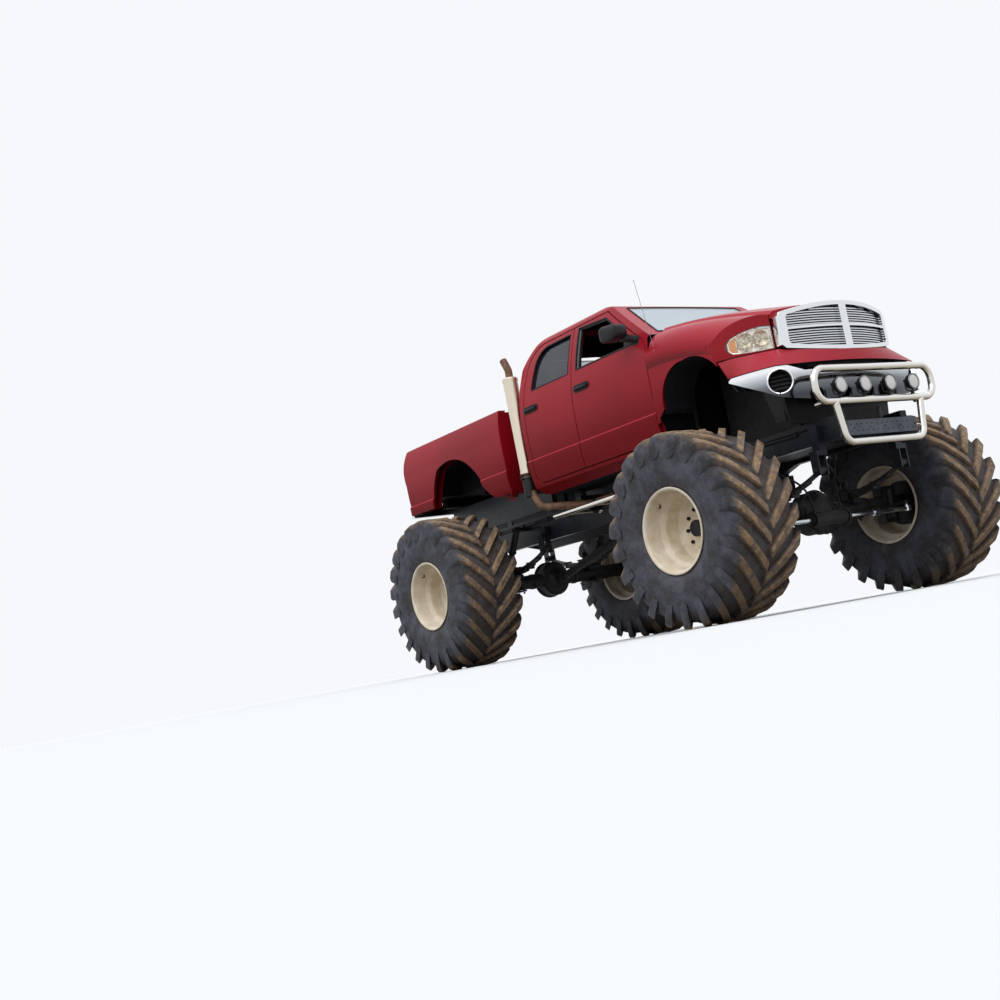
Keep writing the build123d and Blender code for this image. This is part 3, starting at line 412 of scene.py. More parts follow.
def newMaterial(name, settings):
    material = bpy.data.materials.new(name)
    material.use_nodes = True
    shader = material.node_tree.nodes["Principled BSDF"]
    setInputs(shader, settings)
    materials[name] = material
    return material, shader


def surfacePattern(material, scale, detail, rough, stretch=(1, 1, 1)):
    coords = addNode(material, "TexCoord")
    mapping = addNode(material, "Mapping", {"Scale": stretch}, {"Vector": (coords, "Object")})
    return addNode(material, "TexNoise", {"Scale": scale, "Detail": detail, "Roughness": rough},
                   {"Vector": mapping})


def bodyAxes(material):
    # A point's place and the way its surface faces, each as X, Y and Z
    sources = ((addNode(material, "TexCoord"), "Object"), (addNode(material, "NewGeometry"), "Normal"))
    return [addNode(material, "SeparateXYZ", {}, {"Vector": source}) for source in sources]


# Solid red two-pack enamel, clear over colour: glossy, a little dust towards the sills, painted highlight on
# upward faces, painted shade on downward and lower faces, and matt black on the inner and lower faces, partly
# underseal and partly painted shade
redPaint = {"colour": "#a01020", "deep": "#900e1b", "shaded": "#7a0b15", "chalk": "#bc4150",
            "dust": "#7a3a30", "underseal": "#0c0c0f", "roughness": 0.36,
            "facesDown": -0.75, "facesIn": -0.08, "facesAhead": 0.7,
            "cabWall": bodyShift.x - 0.470, "bulkhead": bodyShift.x - 2.94}


def panelInside(material, place, facing):
    # 1 where a painted panel turns inwards or down: below the sills, inside the arches and behind the skins;
    # painted black there, partly underseal and partly painted shade
    low = addNode(material, "Math", {"operation": "LESS_THAN", 1: redPaint["facesDown"]}, {0: (facing, "Z")})
    side = addNode(material, "Math", {"operation": "MULTIPLY"}, {0: (place, "Y"), 1: (facing, "Y")})
    inward = addNode(material, "Math", {"operation": "LESS_THAN", 1: redPaint["facesIn"]}, {0: side})
    # the cab's front wall, seen through the arch, is painted black too: painted shade
    ahead = addNode(material, "Math", {"operation": "GREATER_THAN", 1: redPaint["facesAhead"]},
                    {0: (facing, "X")})
    nearWall = addNode(material, "Math", {"operation": "COMPARE", 1: redPaint["cabWall"], 2: 0.030},
                       {0: (place, "X")})
    front = addNode(material, "Math", {"operation": "MULTIPLY"}, {0: ahead, 1: nearWall})
    both = addNode(material, "Math", {"operation": "MAXIMUM"}, {0: low, 1: inward})
    return addNode(material, "Math", {"operation": "MAXIMUM"}, {0: both, 1: front})


def bedInside(material, place, facing):
    # The bed's tub is painted black all over, apart from the front of its bulkhead: painted shade under and
    # inside the bed
    ahead = addNode(material, "Math", {"operation": "LESS_THAN", 1: redPaint["facesAhead"]},
                    {0: (facing, "X")})
    behind = addNode(material, "Math", {"operation": "LESS_THAN", 1: redPaint["bulkhead"]},
                     {0: (place, "X")})
    return addNode(material, "Math", {"operation": "MAXIMUM"}, {0: ahead, 1: behind})


def makeRedPaint(name, findInside):
    material, shader = newMaterial(name, {"Coat Roughness": 0.08, "Specular IOR Level": 0.07})
    place, facing = bodyAxes(material)
    inside = findInside(material, place, facing)
    sill = bodyShift.z
    height = addNode(material, "MapRange", {"span": (sill - 0.15, sill + 0.75, 1, 0)},
                     {"Value": (place, "Z")})
    cloud = surfacePattern(material, 3.5, 6, 0.62)
    dust = addNode(material, "Math", {"operation": "MULTIPLY"}, {0: height, 1: cloud})
    share = addNode(material, "MapRange", {"span": (0.12, 0.8, 0, 0.04)}, {"Value": dust})
    base = addNode(material, "ValToRGB", {"stops": [(0.35, redPaint["colour"]), (0.65, redPaint["deep"])]},
                   {"Fac": surfacePattern(material, 1.1, 2, 0.5)})
    # painted highlight where it faces up, and painted shade where it faces the ground and towards the sills
    highlightFacing = addNode(material, "MapRange", {"span": (0.02, 0.75, 0, 0.6)}, {"Value": (facing, "Z")})
    shady = addNode(material, "MapRange", {"span": (0.02, -0.22, 0, 0.9)}, {"Value": (facing, "Z")})
    low = addNode(material, "MapRange", {"span": (sill + 0.62, sill + 0.22, 0, 1)}, {"Value": (place, "Z")})
    shade = addNode(material, "Math", {"operation": "MAXIMUM"}, {0: shady, 1: low})
    clear = addNode(material, "MapRange", {"span": (0.10, 0.45, 1, 0)}, {"Value": (facing, "Z")})
    shade = addNode(material, "Math", {"operation": "MULTIPLY"}, {0: shade, 1: clear})
    colour = base
    # painted highlight, painted shade, real dust and the black of the inner faces, mixed in turn
    for part, amount in (("chalk", highlightFacing), ("shaded", shade), ("dust", share), ("underseal", inside)):
        colour = addNode(material, "Mix", {"data_type": "RGBA", 7: redPaint[part]},
                         {"Factor": amount, 6: colour})
    matt = addNode(material, "MapRange", {"span": (0, 1, redPaint["roughness"], 0.75)}, {"Value": inside})
    # the clear coat is bright along the belt and under the windows, and filmed over towards the sills
    dull = addNode(material, "Math", {"operation": "MAXIMUM"}, {0: inside, 1: low})
    coat = addNode(material, "MapRange", {"span": (0, 1, 0.30, 0.02)}, {"Value": dull})
    peel = surfacePattern(material, 260, 2, 0.5)  # orange peel, about 4 mm
    bump = addNode(material, "Bump", {"Strength": 0.03, "Distance": 0.0006}, {"Height": peel})
    linkInputs(material, shader, {"Base Color": colour, "Roughness": matt, "Coat Weight": coat,
                                  "Normal": bump})


def makeMetal(name, colour, roughness, patternScale, spread, stretch=(1, 1, 1)):
    material, shader = newMaterial(name, {"Metallic": 1.0, "Base Color": colour})
    smudge = surfacePattern(material, patternScale, 5, 0.6, stretch)
    span = (0.3, 0.7, max(roughness - spread, 0.02), roughness + spread)
    rough = addNode(material, "MapRange", {"span": span}, {"Value": smudge})
    linkInputs(material, shader, {"Roughness": rough})


def makeBright(name, stops, roughness, patternScale):
    # Bright metal with a painted reflection: pale where it faces up, dark where it faces the ground
    material, shader = newMaterial(name, {"Metallic": 1.0})
    reflectionByFacing = addNode(material, "MapRange", {"span": (-1, 1, 0, 1)}, {"Value": (bodyAxes(material)[1], "Z")})
    tint = addNode(material, "ValToRGB", {"stops": stops}, {"Fac": reflectionByFacing})
    smudge = surfacePattern(material, patternScale, 5, 0.6)
    span = (0.3, 0.7, max(roughness - 0.03, 0.02), roughness + 0.06)
    rough = addNode(material, "MapRange", {"span": span}, {"Value": smudge})
    linkInputs(material, shader, {"Base Color": tint, "Roughness": rough})


def makeBumperChrome(low, high, stops):
    # Chrome pressing with a painted reflection: bright along its upper roll, darker towards its lower edge
    material, shader = newMaterial("bumperChrome", {"Metallic": 1.0})
    height = addNode(material, "MapRange", {"span": (bodyShift.z + low, bodyShift.z + high, 0, 1)},
                     {"Value": (bodyAxes(material)[0], "Z")})
    tint = addNode(material, "ValToRGB", {"stops": stops}, {"Fac": height})
    smear = surfacePattern(material, 12, 5, 0.6)
    span = addNode(material, "MapRange", {"span": (0, 1, 0.04, 0.14)}, {"Value": smear})
    linkInputs(material, shader, {"Base Color": tint, "Roughness": span})


def makeFluted(name, colour, roughness):
    # Pressed lamp glass: upright flutes about 6 mm apart, each with a painted highlight towards white
    material, shader = newMaterial(name, {"Roughness": roughness, "Coat Weight": 0.8})
    flutes = addNode(material, "TexWave", {"bands_direction": "Y", "Scale": 52.0, "Distortion": 0.0},
                     {"Vector": (addNode(material, "TexCoord"), "Object")})
    flutes = (flutes, "Fac")
    tint = addNode(material, "ValToRGB", {"stops": [(0.2, colour), (0.9, "#ffffff")]}, {"Fac": flutes})
    bump = addNode(material, "Bump", {"Strength": 0.25, "Distance": 0.002}, {"Height": flutes})
    linkInputs(material, shader, {"Base Color": tint, "Normal": bump})


def makeLampBowl(name):
    # Faceted reflector: aluminised plastic, with painted highlights and painted shade in cells about 18 mm
    # across
    material, shader = newMaterial(name, {"Metallic": 0.75, "Roughness": 0.2})
    cells = addNode(material, "TexVoronoi", {"Scale": 46.0},
                    {"Vector": (addNode(material, "TexCoord"), "Object")})
    stops = [(0.05, "#f1e9d8"), (0.45, "#cabfa9"), (0.8, "#a0947e")]
    tint = addNode(material, "ValToRGB", {"stops": stops}, {"Fac": cells})
    bump = addNode(material, "Bump", {"Strength": 0.3, "Distance": 0.003}, {"Height": cells})
    linkInputs(material, shader, {"Base Color": tint, "Normal": bump})


def makeCoated(name, colour, dirt, roughness, patternScale, share, relief, coat=0.0):
    # Painted or moulded skin with dirt lying in a cloud pattern
    material, shader = newMaterial(name, {
        "Roughness": roughness, "Coat Weight": coat, "Coat Roughness": 0.2, "Specular IOR Level": 0.3})
    cloud = surfacePattern(material, patternScale, 8, 0.65)
    stops = [(0.35, colour), (0.35 + 0.5 * (1.05 - share), dirt)]
    tint = addNode(material, "ValToRGB", {"stops": stops}, {"Fac": cloud})
    grain = surfacePattern(material, 420, 3, 0.6)
    bump = addNode(material, "Bump", {"Strength": relief, "Distance": 0.0008}, {"Height": grain})
    linkInputs(material, shader, {"Base Color": tint, "Normal": bump})


def makeGlass(name, colour, roughness, alpha):
    material, shader = newMaterial(name, {
        "Base Color": colour, "IOR": 1.5, "Alpha": alpha, "Specular IOR Level": 0.8})
    film = surfacePattern(material, 5, 5, 0.6)
    span = addNode(material, "MapRange", {"span": (0, 1, roughness, roughness + 0.07)}, {"Value": film})
    linkInputs(material, shader, {"Roughness": span})


# Vulcanised natural rubber, worn and out of doors: blue-black with pale scuffs, and dry brown
# soil rubbed into the lug tops
tyreColours = {"rubber": "#181c25", "scuffed": "#565d6c", "soil": "#866a51", "paleSoil": "#b69a77"}


def makeTyreRubber(name):
    material, shader = newMaterial(name, {"Roughness": 0.72})
    stops = [(0.42, tyreColours["rubber"]), (0.78, tyreColours["scuffed"])]
    rubber = addNode(material, "ValToRGB", {"stops": stops}, {"Fac": surfacePattern(material, 7, 9, 0.7)})
    grit = surfacePattern(material, 38, 8, 0.7)
    stops = [(0.35, tyreColours["soil"]), (0.7, tyreColours["paleSoil"])]
    soil = addNode(material, "ValToRGB", {"stops": stops}, {"Fac": grit})
    mask = addNode(material, "Attribute", {"attribute_name": "soil"})
    patch = surfacePattern(material, 16, 6, 0.65)
    spread = addNode(material, "MapRange", {"span": (0.25, 0.6, 0, 1)}, {"Value": patch})
    share = addNode(material, "Math", {"operation": "MULTIPLY"}, {0: (mask, "Fac"), 1: spread})
    mix = addNode(material, "Mix", {"data_type": "RGBA"}, {"Factor": share, 6: rubber, 7: soil})
    bump = addNode(material, "Bump", {"Strength": 0.35, "Distance": 0.003}, {"Height": grit})
    linkInputs(material, shader, {"Base Color": mix, "Normal": bump})


# Bright bars over a black panel, told apart by their depth behind the grille's curved front
grilleDepth = {"centre": 0.9994, "panelEdge": 1.7671, "panel": "#09090b", "bar": "#d6d9dc"}


def makeGrilleBars(name):
    material, shader = newMaterial(name, {})
    flat = addNode(material, "Mapping", {"Location": (-grilleDepth["centre"], 0, 0), "Scale": (1, 1, 0)},
                   {"Vector": (addNode(material, "TexCoord"), "Object")})
    reach = addNode(material, "VectorMath", {"operation": "LENGTH"}, {0: flat})
    bright = addNode(material, "Math", {"operation": "GREATER_THAN", 1: grilleDepth["panelEdge"]},
                     {0: (reach, "Value")})
    # painted shade: the bars' undersides take the black of the panel
    facing = bodyAxes(material)[1]
    above = addNode(material, "Math", {"operation": "GREATER_THAN", 1: -0.5}, {0: (facing, "Z")})
    bright = addNode(material, "Math", {"operation": "MULTIPLY"}, {0: bright, 1: above})
    tint = addNode(material, "Mix", {"data_type": "RGBA", 6: grilleDepth["panel"], 7: grilleDepth["bar"]},
                   {"Factor": bright})
    smear = surfacePattern(material, 40, 4, 0.6)
    span = addNode(material, "MapRange", {"span": (0, 1, 0.10, 0.32)}, {"Value": smear})
    linkInputs(material, shader, {"Base Color": tint, "Metallic": bright, "Roughness": span})


metals = {  # colour, roughness, size of the smudges, their spread and stretch
    "darkChrome": ("#6f7176", 0.12, 14, 0.05),  # black nickel
    "shieldSheet": ("#dfd3c1", 0.26, 20, 0.12, (1, 1, 0.08)),  # heat-tinted bright sheet, rolled upright
    "rodSteel": ("#c9ccd0", 0.12, 40, 0.05),  # ground piston rod
    "lampHousing": ("#e6e0d6", 0.25, 30, 0.06),  # aluminised moulding
    "mirrorGlass": ("#dfe3e6", 0.03, 8, 0.01),  # silvered glass
}
coatings = {  # colour, dirt, roughness, size and share of the dirt, grain, clear coat
    "frameEnamel": ("#0c0e14", "#1f222a", 0.42, 6, 0.5, 0.2, 0.1),  # navy-black chassis enamel
    "beamEnamel": ("#3e4552", "#5a5e66", 0.45, 8, 0.5, 0.2),  # grey primer on plate
    "castIron": ("#0a0a0d", "#201f20", 0.55, 14, 0.5, 0.5),  # sand-cast iron, painted black
    "springSteel": ("#0d0d11", "#282523", 0.5, 20, 0.5, 0.4),  # oiled spring leaves
    "blackPlastic": ("#0f1013", "#202124", 0.5, 10, 0.4, 0.35),  # grained ABS mouldings
    "finAlloy": ("#141519", "#33312f", 0.5, 30, 0.4, 0.3),  # anodised cooler fins
    "exhaustSteel": ("#4b3626", "#80604a", 0.55, 12, 0.6, 0.4),  # heat-browned pipe
    "creamEnamel": ("#f3e9d8", "#cbb999", 0.40, 7, 0.25, 0.15, 0.3),  # cream stove enamel
    "seatCloth": ("#3b3e44", "#4a4d52", 0.9, 40, 0.5, 0.6),  # woven seat fabric
    "redLens": ("#8d0f14", "#a4262a", 0.12, 30, 0.3, 0.05, 0.8),  # moulded acrylic
    "amberLens": ("#e58a1e", "#f2a848", 0.12, 30, 0.4, 0.05, 0.8),  # moulded acrylic
    "greyTrim": ("#54555a", "#6c6d70", 0.6, 30, 0.4, 0.2),  # flocked window channel
    "blackRubber": ("#0d0d10", "#1c1c20", 0.6, 30, 0.4, 0.2),  # extruded seals
}
# the pale blue-white of the screen glass and the clear glass is painted sky reflection
glasses = {  # colour, roughness, share of light that is stopped
    "screenGlass": ("#e3f1fa", 0.03, 0.55), "clearGlass": ("#dcecf6", 0.03, 0.2),
    "tintedGlass": ("#242a33", 0.03, 0.86), "lampLens": ("#f2efe6", 0.03, 0.16),
}
makeRedPaint("redEnamel", panelInside)
makeRedPaint("bedEnamel", bedInside)
# nickel-chrome and buffed tube with a painted reflection by facing, and chrome with a painted reflection that
# fades from the bumper's top to its lower edge
makeBright("chromePlate", [(0.12, "#2c2e33"), (0.55, "#f1f3f5"), (0.9, "#fbfcfd")], 0.05, 14)
makeBright("polishedStainless", [(0.12, "#84765f"), (0.55, "#e6e2dc"), (0.9, "#f8f8f6")], 0.14, 60)
makeBumperChrome(0.08, 0.34, [(0.08, "#45484c"), (0.42, "#74787c"), (0.70, "#c3c8cb"), (0.88, "#f6f7f8")])
makeGrilleBars("barChrome")
makeTyreRubber("tyreRubber")
makeFluted("flutedLens", "#d9d6cf", 0.1)
makeLampBowl("lampBowl")
for makeFinish, rows in ((makeMetal, metals), (makeCoated, coatings), (makeGlass, glasses)):
    for finish, values in rows.items():
        makeFinish(finish, *values)

nodeMaterial = {
    "redEnamel": "cab_shell door_front_right door_front_left door_rear_right door_rear_left hood fenders "
                 "bumper_cover bedsides tailgate",
    "bedEnamel": "bed_tub",
    "chromePlate": "grille_surround rear_bumper",
    "bumperChrome": "front_bumper",
    "barChrome": "grille_bars",
    "polishedStainless": "bull_bar spot_lamps step_bars",
    "shieldSheet": "exhaust_shields",
    "exhaustSteel": "exhaust_pipes",
    "frameEnamel": "rail_right rail_left cross_members body_mounts spring_hangers",
    "beamEnamel": "front_beam",
    "castIron": "power_train drive_shafts front_axle rear_axle knuckle_right knuckle_left",
    "springSteel": "leaf_springs shock_absorbers",
    "rodSteel": "steering_rod",
    "finAlloy": "oil_cooler",
    "blackPlastic": "door_trim_front_right door_trim_front_left handle_rear_right handle_rear_left "
                    "inner_front radiator_support",
    "seatCloth": "interior",
    "screenGlass": "fixed_glass",
    "clearGlass": "glass_front_left",
    "tintedGlass": "glass_rear_right glass_rear_left",
    "lampLens": "headlamps",
    "redLens": "tail_lamps",
    "creamEnamel": "rim_front_right rim_front_left rim_rear_right rim_rear_left",
    "tyreRubber": "tyre_front_right tyre_front_left tyre_rear_right tyre_rear_left",
}
for finish, names in nodeMaterial.items():
    for nodeName in names.split():
        mesh = nodes[nodeName].data
        mesh.materials.clear()
        mesh.materials.append(materials[finish])
print("materials on the CAD nodes")


# Wheels: a tractor tyre with chevron lugs, on a deep dish rim
wheel = {
    "corners": {"front_right": (frontAxle, -1), "front_left": (frontAxle, 1),
                "rear_right": (rearAxle, -1), "rear_left": (rearAxle, 1)},
    "sectors": 22,
    "radius": 0.795,
    "side": [(0.290, 0.345), (0.304, 0.366), (0.322, 0.392), (0.338, 0.440), (0.3455, 0.510), (0.3455, 0.580),
             (0.336, 0.640), (0.320, 0.685), (0.298, 0.718), (0.262, 0.736), (0.200, 0.746), (0.100, 0.752)],
    "crown": 0.754,
    # across, along, half width, top and foot of each ring of a lug
    "lugRuns": [(0.004, 0.010, 0.040, 0.786, 0.738), (0.018, -0.004, 0.050, 0.7945, 0.738),
                (0.120, -0.114, 0.050, 0.7945, 0.738), (0.225, -0.222, 0.050, 0.7945, 0.730),
                (0.300, -0.296, 0.052, 0.790, 0.700), (0.333, -0.328, 0.056, 0.766, 0.650),
                (0.3495, -0.348, 0.056, 0.716, 0.600), (0.3515, -0.356, 0.046, 0.672, 0.585)],
    "lugEdge": 0.0065,
    "lugTaper": 0.8,
    "nuts": 10,
    "nutCircle": 0.165,
    "discFace": -0.020,
    "hub": [(-0.030, 0.066), (-0.030, 0.068), (-0.055, 0.068), (-0.062, 0.062), (-0.064, 0.040),
            (-0.060, 0.036), (-0.060, 0.010)],
    "valve": [(0.322, -0.205, 0), (0.296, -0.210, 0), (0.284, -0.222, 0), (0.280, -0.245, 0)],
}
rimProfile = [
    (0.300, 0.338), (0.303, 0.350), (0.309, 0.3540), (0.3150, 0.3515), (0.3160, 0.344), (0.312, 0.335),
    (0.305, 0.327), (0.296, 0.3225), (0.205, 0.3185), (0.163, 0.3160), (0.152, 0.311), (0.128, 0.284),
    (0.116, 0.2785), (0.004, 0.2780), (-0.008, 0.274), (-0.016, 0.264), (-0.020, 0.250), (-0.020, 0.070),
    (-0.034, 0.070), (-0.034, 0.266), (-0.190, 0.2785), (-0.224, 0.3160), (-0.296, 0.3225), (-0.305, 0.327),
    (-0.312, 0.335), (-0.3160, 0.344), (-0.3150, 0.3515), (-0.309, 0.3540), (-0.303, 0.350), (-0.300, 0.338),
    (-0.221, 0.328), (-0.186, 0.290), (0.112, 0.290), (0.147, 0.328),
]


def makeLug():
    # Drawn flat, X along the tread and Z the radius, then wrapped round the wheel
    rings = [((along, across, (top + low) / 2), half, (top - low) / 2)
             for across, along, half, top, low in wheel["lugRuns"]]
    lug = sweptPiece("lug", rings, wheel["lugTaper"])
    breakEdges(lug, wheel["lugEdge"], 1, 40)
    for vertex in lug.data.vertices:
        angle = vertex.co.x / wheel["radius"]
        reach = min(vertex.co.z, wheel["radius"])
        vertex.co = (reach * math.sin(angle), vertex.co.y, reach * math.cos(angle))
    return lug


def layDrySoil(tyre):
    # How much dry soil lies where: all over the lug tops, some on the crown, little on the sides
    soil = tyre.data.attributes.new("soil", "FLOAT", "POINT")
    for vertex, cell in zip(tyre.data.vertices, soil.data):
        reach = math.hypot(vertex.co.x, vertex.co.z)
        onTop = min(max((reach - 0.772) / 0.018, 0), 1)
        onCrown = 0.20 if reach > 0.735 else 0.08
        cell.value = max(onTop, onCrown) * (1.0 if abs(vertex.co.y) < 0.325 else 0.55)


def makeTyre():
    outer = wheel["side"]
    rows = [(-y, r) for y, r in outer] + [(0, wheel["crown"])] + outer[::-1]
    pieces = [turnedPiece("carcass", rows, 110, closed=True)]
    lug = makeLug()
    step = 360 / wheel["sectors"]
    other = mirrorAcross(lug, "lugMirrored")
    for name, pattern, start in (("lugs", lug, 0), ("lugsOther", other, 0.5)):
        moves = [turnAbout("Y", step * (k + start)) for k in range(wheel["sectors"])]
        pieces.append(repeated(pattern, moves, name))
    tyre = joinPieces(pieces, "tread")
    layDrySoil(tyre)
    smoothShade(tyre, 40)
    return tyre


def makeWheels():
    tyre = makeTyre()
    rim = turnedPiece("rim", rimProfile, 96, closed=True, flip=-1)
    smoothShade(rim)
    moves = []
    for k in range(wheel["nuts"]):
        angle = 2 * math.pi * k / wheel["nuts"]
        x, z = math.cos(angle) * wheel["nutCircle"], math.sin(angle) * wheel["nutCircle"]
        moves.append(moved((x, -wheel["discFace"], z)) @ aimed((0, -1, 0)))
    nuts = repeated(hexNut("wheelNut", 0.0165, 0.020), moves, "wheelNuts")
    hub = turnedPiece("hubCap", wheel["hub"], 48)
    smoothShade(hub, 30)
    turn = turnAbout("Y", -130)
    stem = [turn @ Vector(spot) for spot in wheel["valve"]]
    valve = tubePiece("valve", stem, 0.006, resolution=6, sections=3)
    parts = ((rim, "creamEnamel", "cream_rim", "rim_"), (nuts, "castIron", "cast_black", None),
             (hub, "castIron", "cast_black", None), (valve, "blackRubber", "tyre", None),
             (tyre, "tyreRubber", "tyre", "tyre_"))
    for corner, (x, side) in wheel["corners"].items():
        for piece, finish, slotName, replaced in parts:
            makeTwin = copyPiece if side < 0 or piece is tyre else mirrorAcross
            twin = makeTwin(piece, piece.name + "_" + corner)
            twin.data.transform(moved((x, side * halfTrack, axleHeight)))
            dress(twin, finish, "wheel_" + corner)
            if replaced:
                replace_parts(twin, replaced + corner)
    for piece, *_ in parts:
        bpy.data.objects.remove(piece)


makeWheels()
print("wheels")

# Half the body's width at a height, from the drawing
bodySide = [(-0.06, 0.880), (0.02, 0.955), (0.16, 0.987), (0.292, 1.0), (0.306, 0.986), (0.47, 0.998),
            (0.64, 1.0), (0.79, 0.990), (0.935, 0.965), (1.06, 0.937), (1.175, 0.905), (1.29, 0.868),
            (1.40, 0.825)]


def sideHalf(z):
    return between(bodySide, z)


# Grille: one more bright slat above and below the rest, in the rounded ends of the openings
grilleSlat = {"arc": ((0.717, 0.660), (0.845, 0.0), (0.717, -0.660)),
              "halfDepth": 0.010, "halfHeight": 0.0045,
              "rows": [(0.8084, 0.335), (0.5116, 0.425)], "stem": 0.043}


def makeGrilleSlats():
    cx, cy, radius = circleThrough(*grilleSlat["arc"])
    slats = []
    for z, half in grilleSlat["rows"]:
        rings = []
        for k in range(9):
            y = -half + (half - grilleSlat["stem"]) * k / 8
            x = cx + math.sqrt(radius ** 2 - (y - cy) ** 2)
            rings.append(((x, y, z), grilleSlat["halfDepth"], grilleSlat["halfHeight"]))
        slats.append(sweptPiece("grilleSlat", rings))
    fit(joinPieces(slats, "grilleSlats"), "barChrome", "hood", both=True)


# Headlamps: a bright housing with two bowls and an amber end, behind the clear lens
headlamp = {
    "arc": ((0.425, 0.950), (0.585, 0.815), (0.700, 0.640)),
    "top": [(0.672, 0.706), (0.75, 0.710), (0.82, 0.708), (0.88, 0.694), (0.925, 0.668), (0.945, 0.630)],
    "bottom": [(0.672, 0.530), (0.75, 0.526), (0.82, 0.526), (0.88, 0.531), (0.925, 0.541), (0.945, 0.575)],
    "span": (0.674, 0.944),
    "bowls": [(0.25, 0.619), (0.60, 0.619)],
    "bowlRadius": 0.071,
    "bowlDepth": 0.036,
    "amberFrom": 0.80,
    "finishes": ("lampHousing", "lampBowl", "amberLens"),
}


def makeHeadlamp():
    cx, cy, radius = circleThrough(*headlamp["arc"])
    start, end = [math.asin((y - cy) / radius) for y in headlamp["span"]]
    length = abs(end - start) * radius
    clearSelection()
    bpy.ops.mesh.primitive_grid_add(x_subdivisions=72, y_subdivisions=40, size=2)
    plate = bpy.context.object
    plate.name = "headlampHousings"
    regions = []  # 0 housing, 1 bowl, 2 amber
    for vertex in plate.data.vertices:
        u = (vertex.co.x + 1) / 2
        v = (vertex.co.y + 1) / 2
        turn = start + (end - start) * u
        y = cy + radius * math.sin(turn)
        bottom, top = between(headlamp["bottom"], y), between(headlamp["top"], y)
        z = bottom * (1 - v) + top * v
        edge = min(u * length, (1 - u) * length, z - bottom, top - z)
        depth = 0.012 + 0.016 * min(max(edge - 0.006, 0) / 0.004, 1)
        region = 0
        for share, bowlZ in headlamp["bowls"]:
            away = math.hypot((u - share) * length, z - bowlZ) / headlamp["bowlRadius"]
            if away < 1.0:
                depth = 0.016 + headlamp["bowlDepth"] * (1 - away * away)
                depth -= 0.018 * max(0.0, 1 - (away / 0.22) ** 2)
                region = 1
            elif away < 1.09:
                depth = 0.010
        if u > headlamp["amberFrom"] and edge > 0.007 and region == 0:
            region = 2
            depth = 0.014
        regions.append(region)
        reach = radius - depth
        vertex.co = (cx + reach * math.cos(turn), -(cy + reach * math.sin(turn)), z)
    for finish in headlamp["finishes"]:
        plate.data.materials.append(materials[finish])
    for face in plate.data.polygons:
        found = [regions[i] for i in face.vertices]
        face.material_index = max(set(found), key=found.count)
    addModifier(plate, "SOLIDIFY", thickness=0.003, offset=1)
    faceOut(plate)
    smoothShade(plate, 60)
    fit(plate, None, "truck", both=True)


# Bumper lamps: a chrome ring round each hole, with louvres over a dark bowl
bumperLamp = {
    "centre": (0.812, -0.825, 0.214), "axis": (0.7220, -0.6919, 0.0),
    "ring": [(-0.030, 0.0915), (0.004, 0.0915), (0.010, 0.094), (0.012, 0.099), (0.009, 0.105),
             (0.002, 0.108), (-0.012, 0.108), (-0.030, 0.104)],
    "bowl": [(-0.085, 0.002), (-0.085, 0.060), (-0.070, 0.080), (-0.020, 0.0905), (-0.020, 0.088),
             (-0.068, 0.076), (-0.081, 0.058), (-0.081, 0.002)],
    "slats": 4, "slatRadius": 0.088, "slatTilt": 24,
}


def makeBumperLamps():
    ring = turnedPiece("bumperLampRing", bumperLamp["ring"], 64, "Z", closed=True)
    bowl = turnedPiece("bumperLampBowl", bumperLamp["bowl"], 40, "Z", closed=True)
    smoothShade(ring, 40)
    smoothShade(bowl, 40)
    slats = []
    for k in range(bumperLamp["slats"]):
        height = -0.051 + 0.034 * k
        half = math.sqrt(bumperLamp["slatRadius"] ** 2 - height ** 2) - 0.002
        slat = blockPiece("bumperLampSlat", (-0.003, -half, -0.048), (0.003, half, -0.018), 0.001)
        slat.data.transform(moved((height, 0, 0)) @ turnAbout("Y", bumperLamp["slatTilt"]))
        slats.append(slat)
    slats = joinPieces(slats, "bumperLampSlats")
    # the pieces' own X stands up, so that the slats lie level
    turn = aimed(bumperLamp["axis"]) @ turnAbout("Z", 90)
    for piece, finish, slotName in ((ring, "chromePlate", "chrome"), (bowl, "blackPlastic", "black_plastic"),
                                    (slats, "castIron", "black_plastic")):
        piece.data.transform(moved(bumperLamp["centre"]) @ turn)
        fit(piece, finish, "truck", both=True)


# Spot lamps on the bull bar: dark bowls, bright bezels, fluted lenses, and feet with stirrups
spotLamp = {"places": (-0.443, -0.153, 0.153, 0.443), "height": 0.106, "x": 1.05, "pivot": 1.045}
spotRows = {
    "spotShell": ("castIron", [
        (1.0155, 0.003), (1.0155, 0.030), (1.020, 0.042), (1.036, 0.056), (1.060, 0.064), (1.066, 0.0678),
        (1.080, 0.0678), (1.080, 0.064), (1.068, 0.061), (1.040, 0.051), (1.022, 0.036), (1.019, 0.003)]),
    "spotBezel": ("darkChrome", [
        (1.074, 0.0640), (1.080, 0.0640), (1.082, 0.0675), (1.086, 0.0678), (1.0898, 0.0655),
        (1.0898, 0.0600), (1.086, 0.0575), (1.078, 0.0575)]),
    "spotBowl": ("lampBowl", [
        (1.030, 0.002), (1.032, 0.020), (1.044, 0.042), (1.074, 0.058), (1.074, 0.056), (1.048, 0.041),
        (1.036, 0.020), (1.034, 0.002)]),
    "spotLens": ("flutedLens", [
        (1.078, 0.060), (1.084, 0.0595), (1.0865, 0.050), (1.0880, 0.035), (1.0888, 0.018), (1.0890, 0.002)]),
}


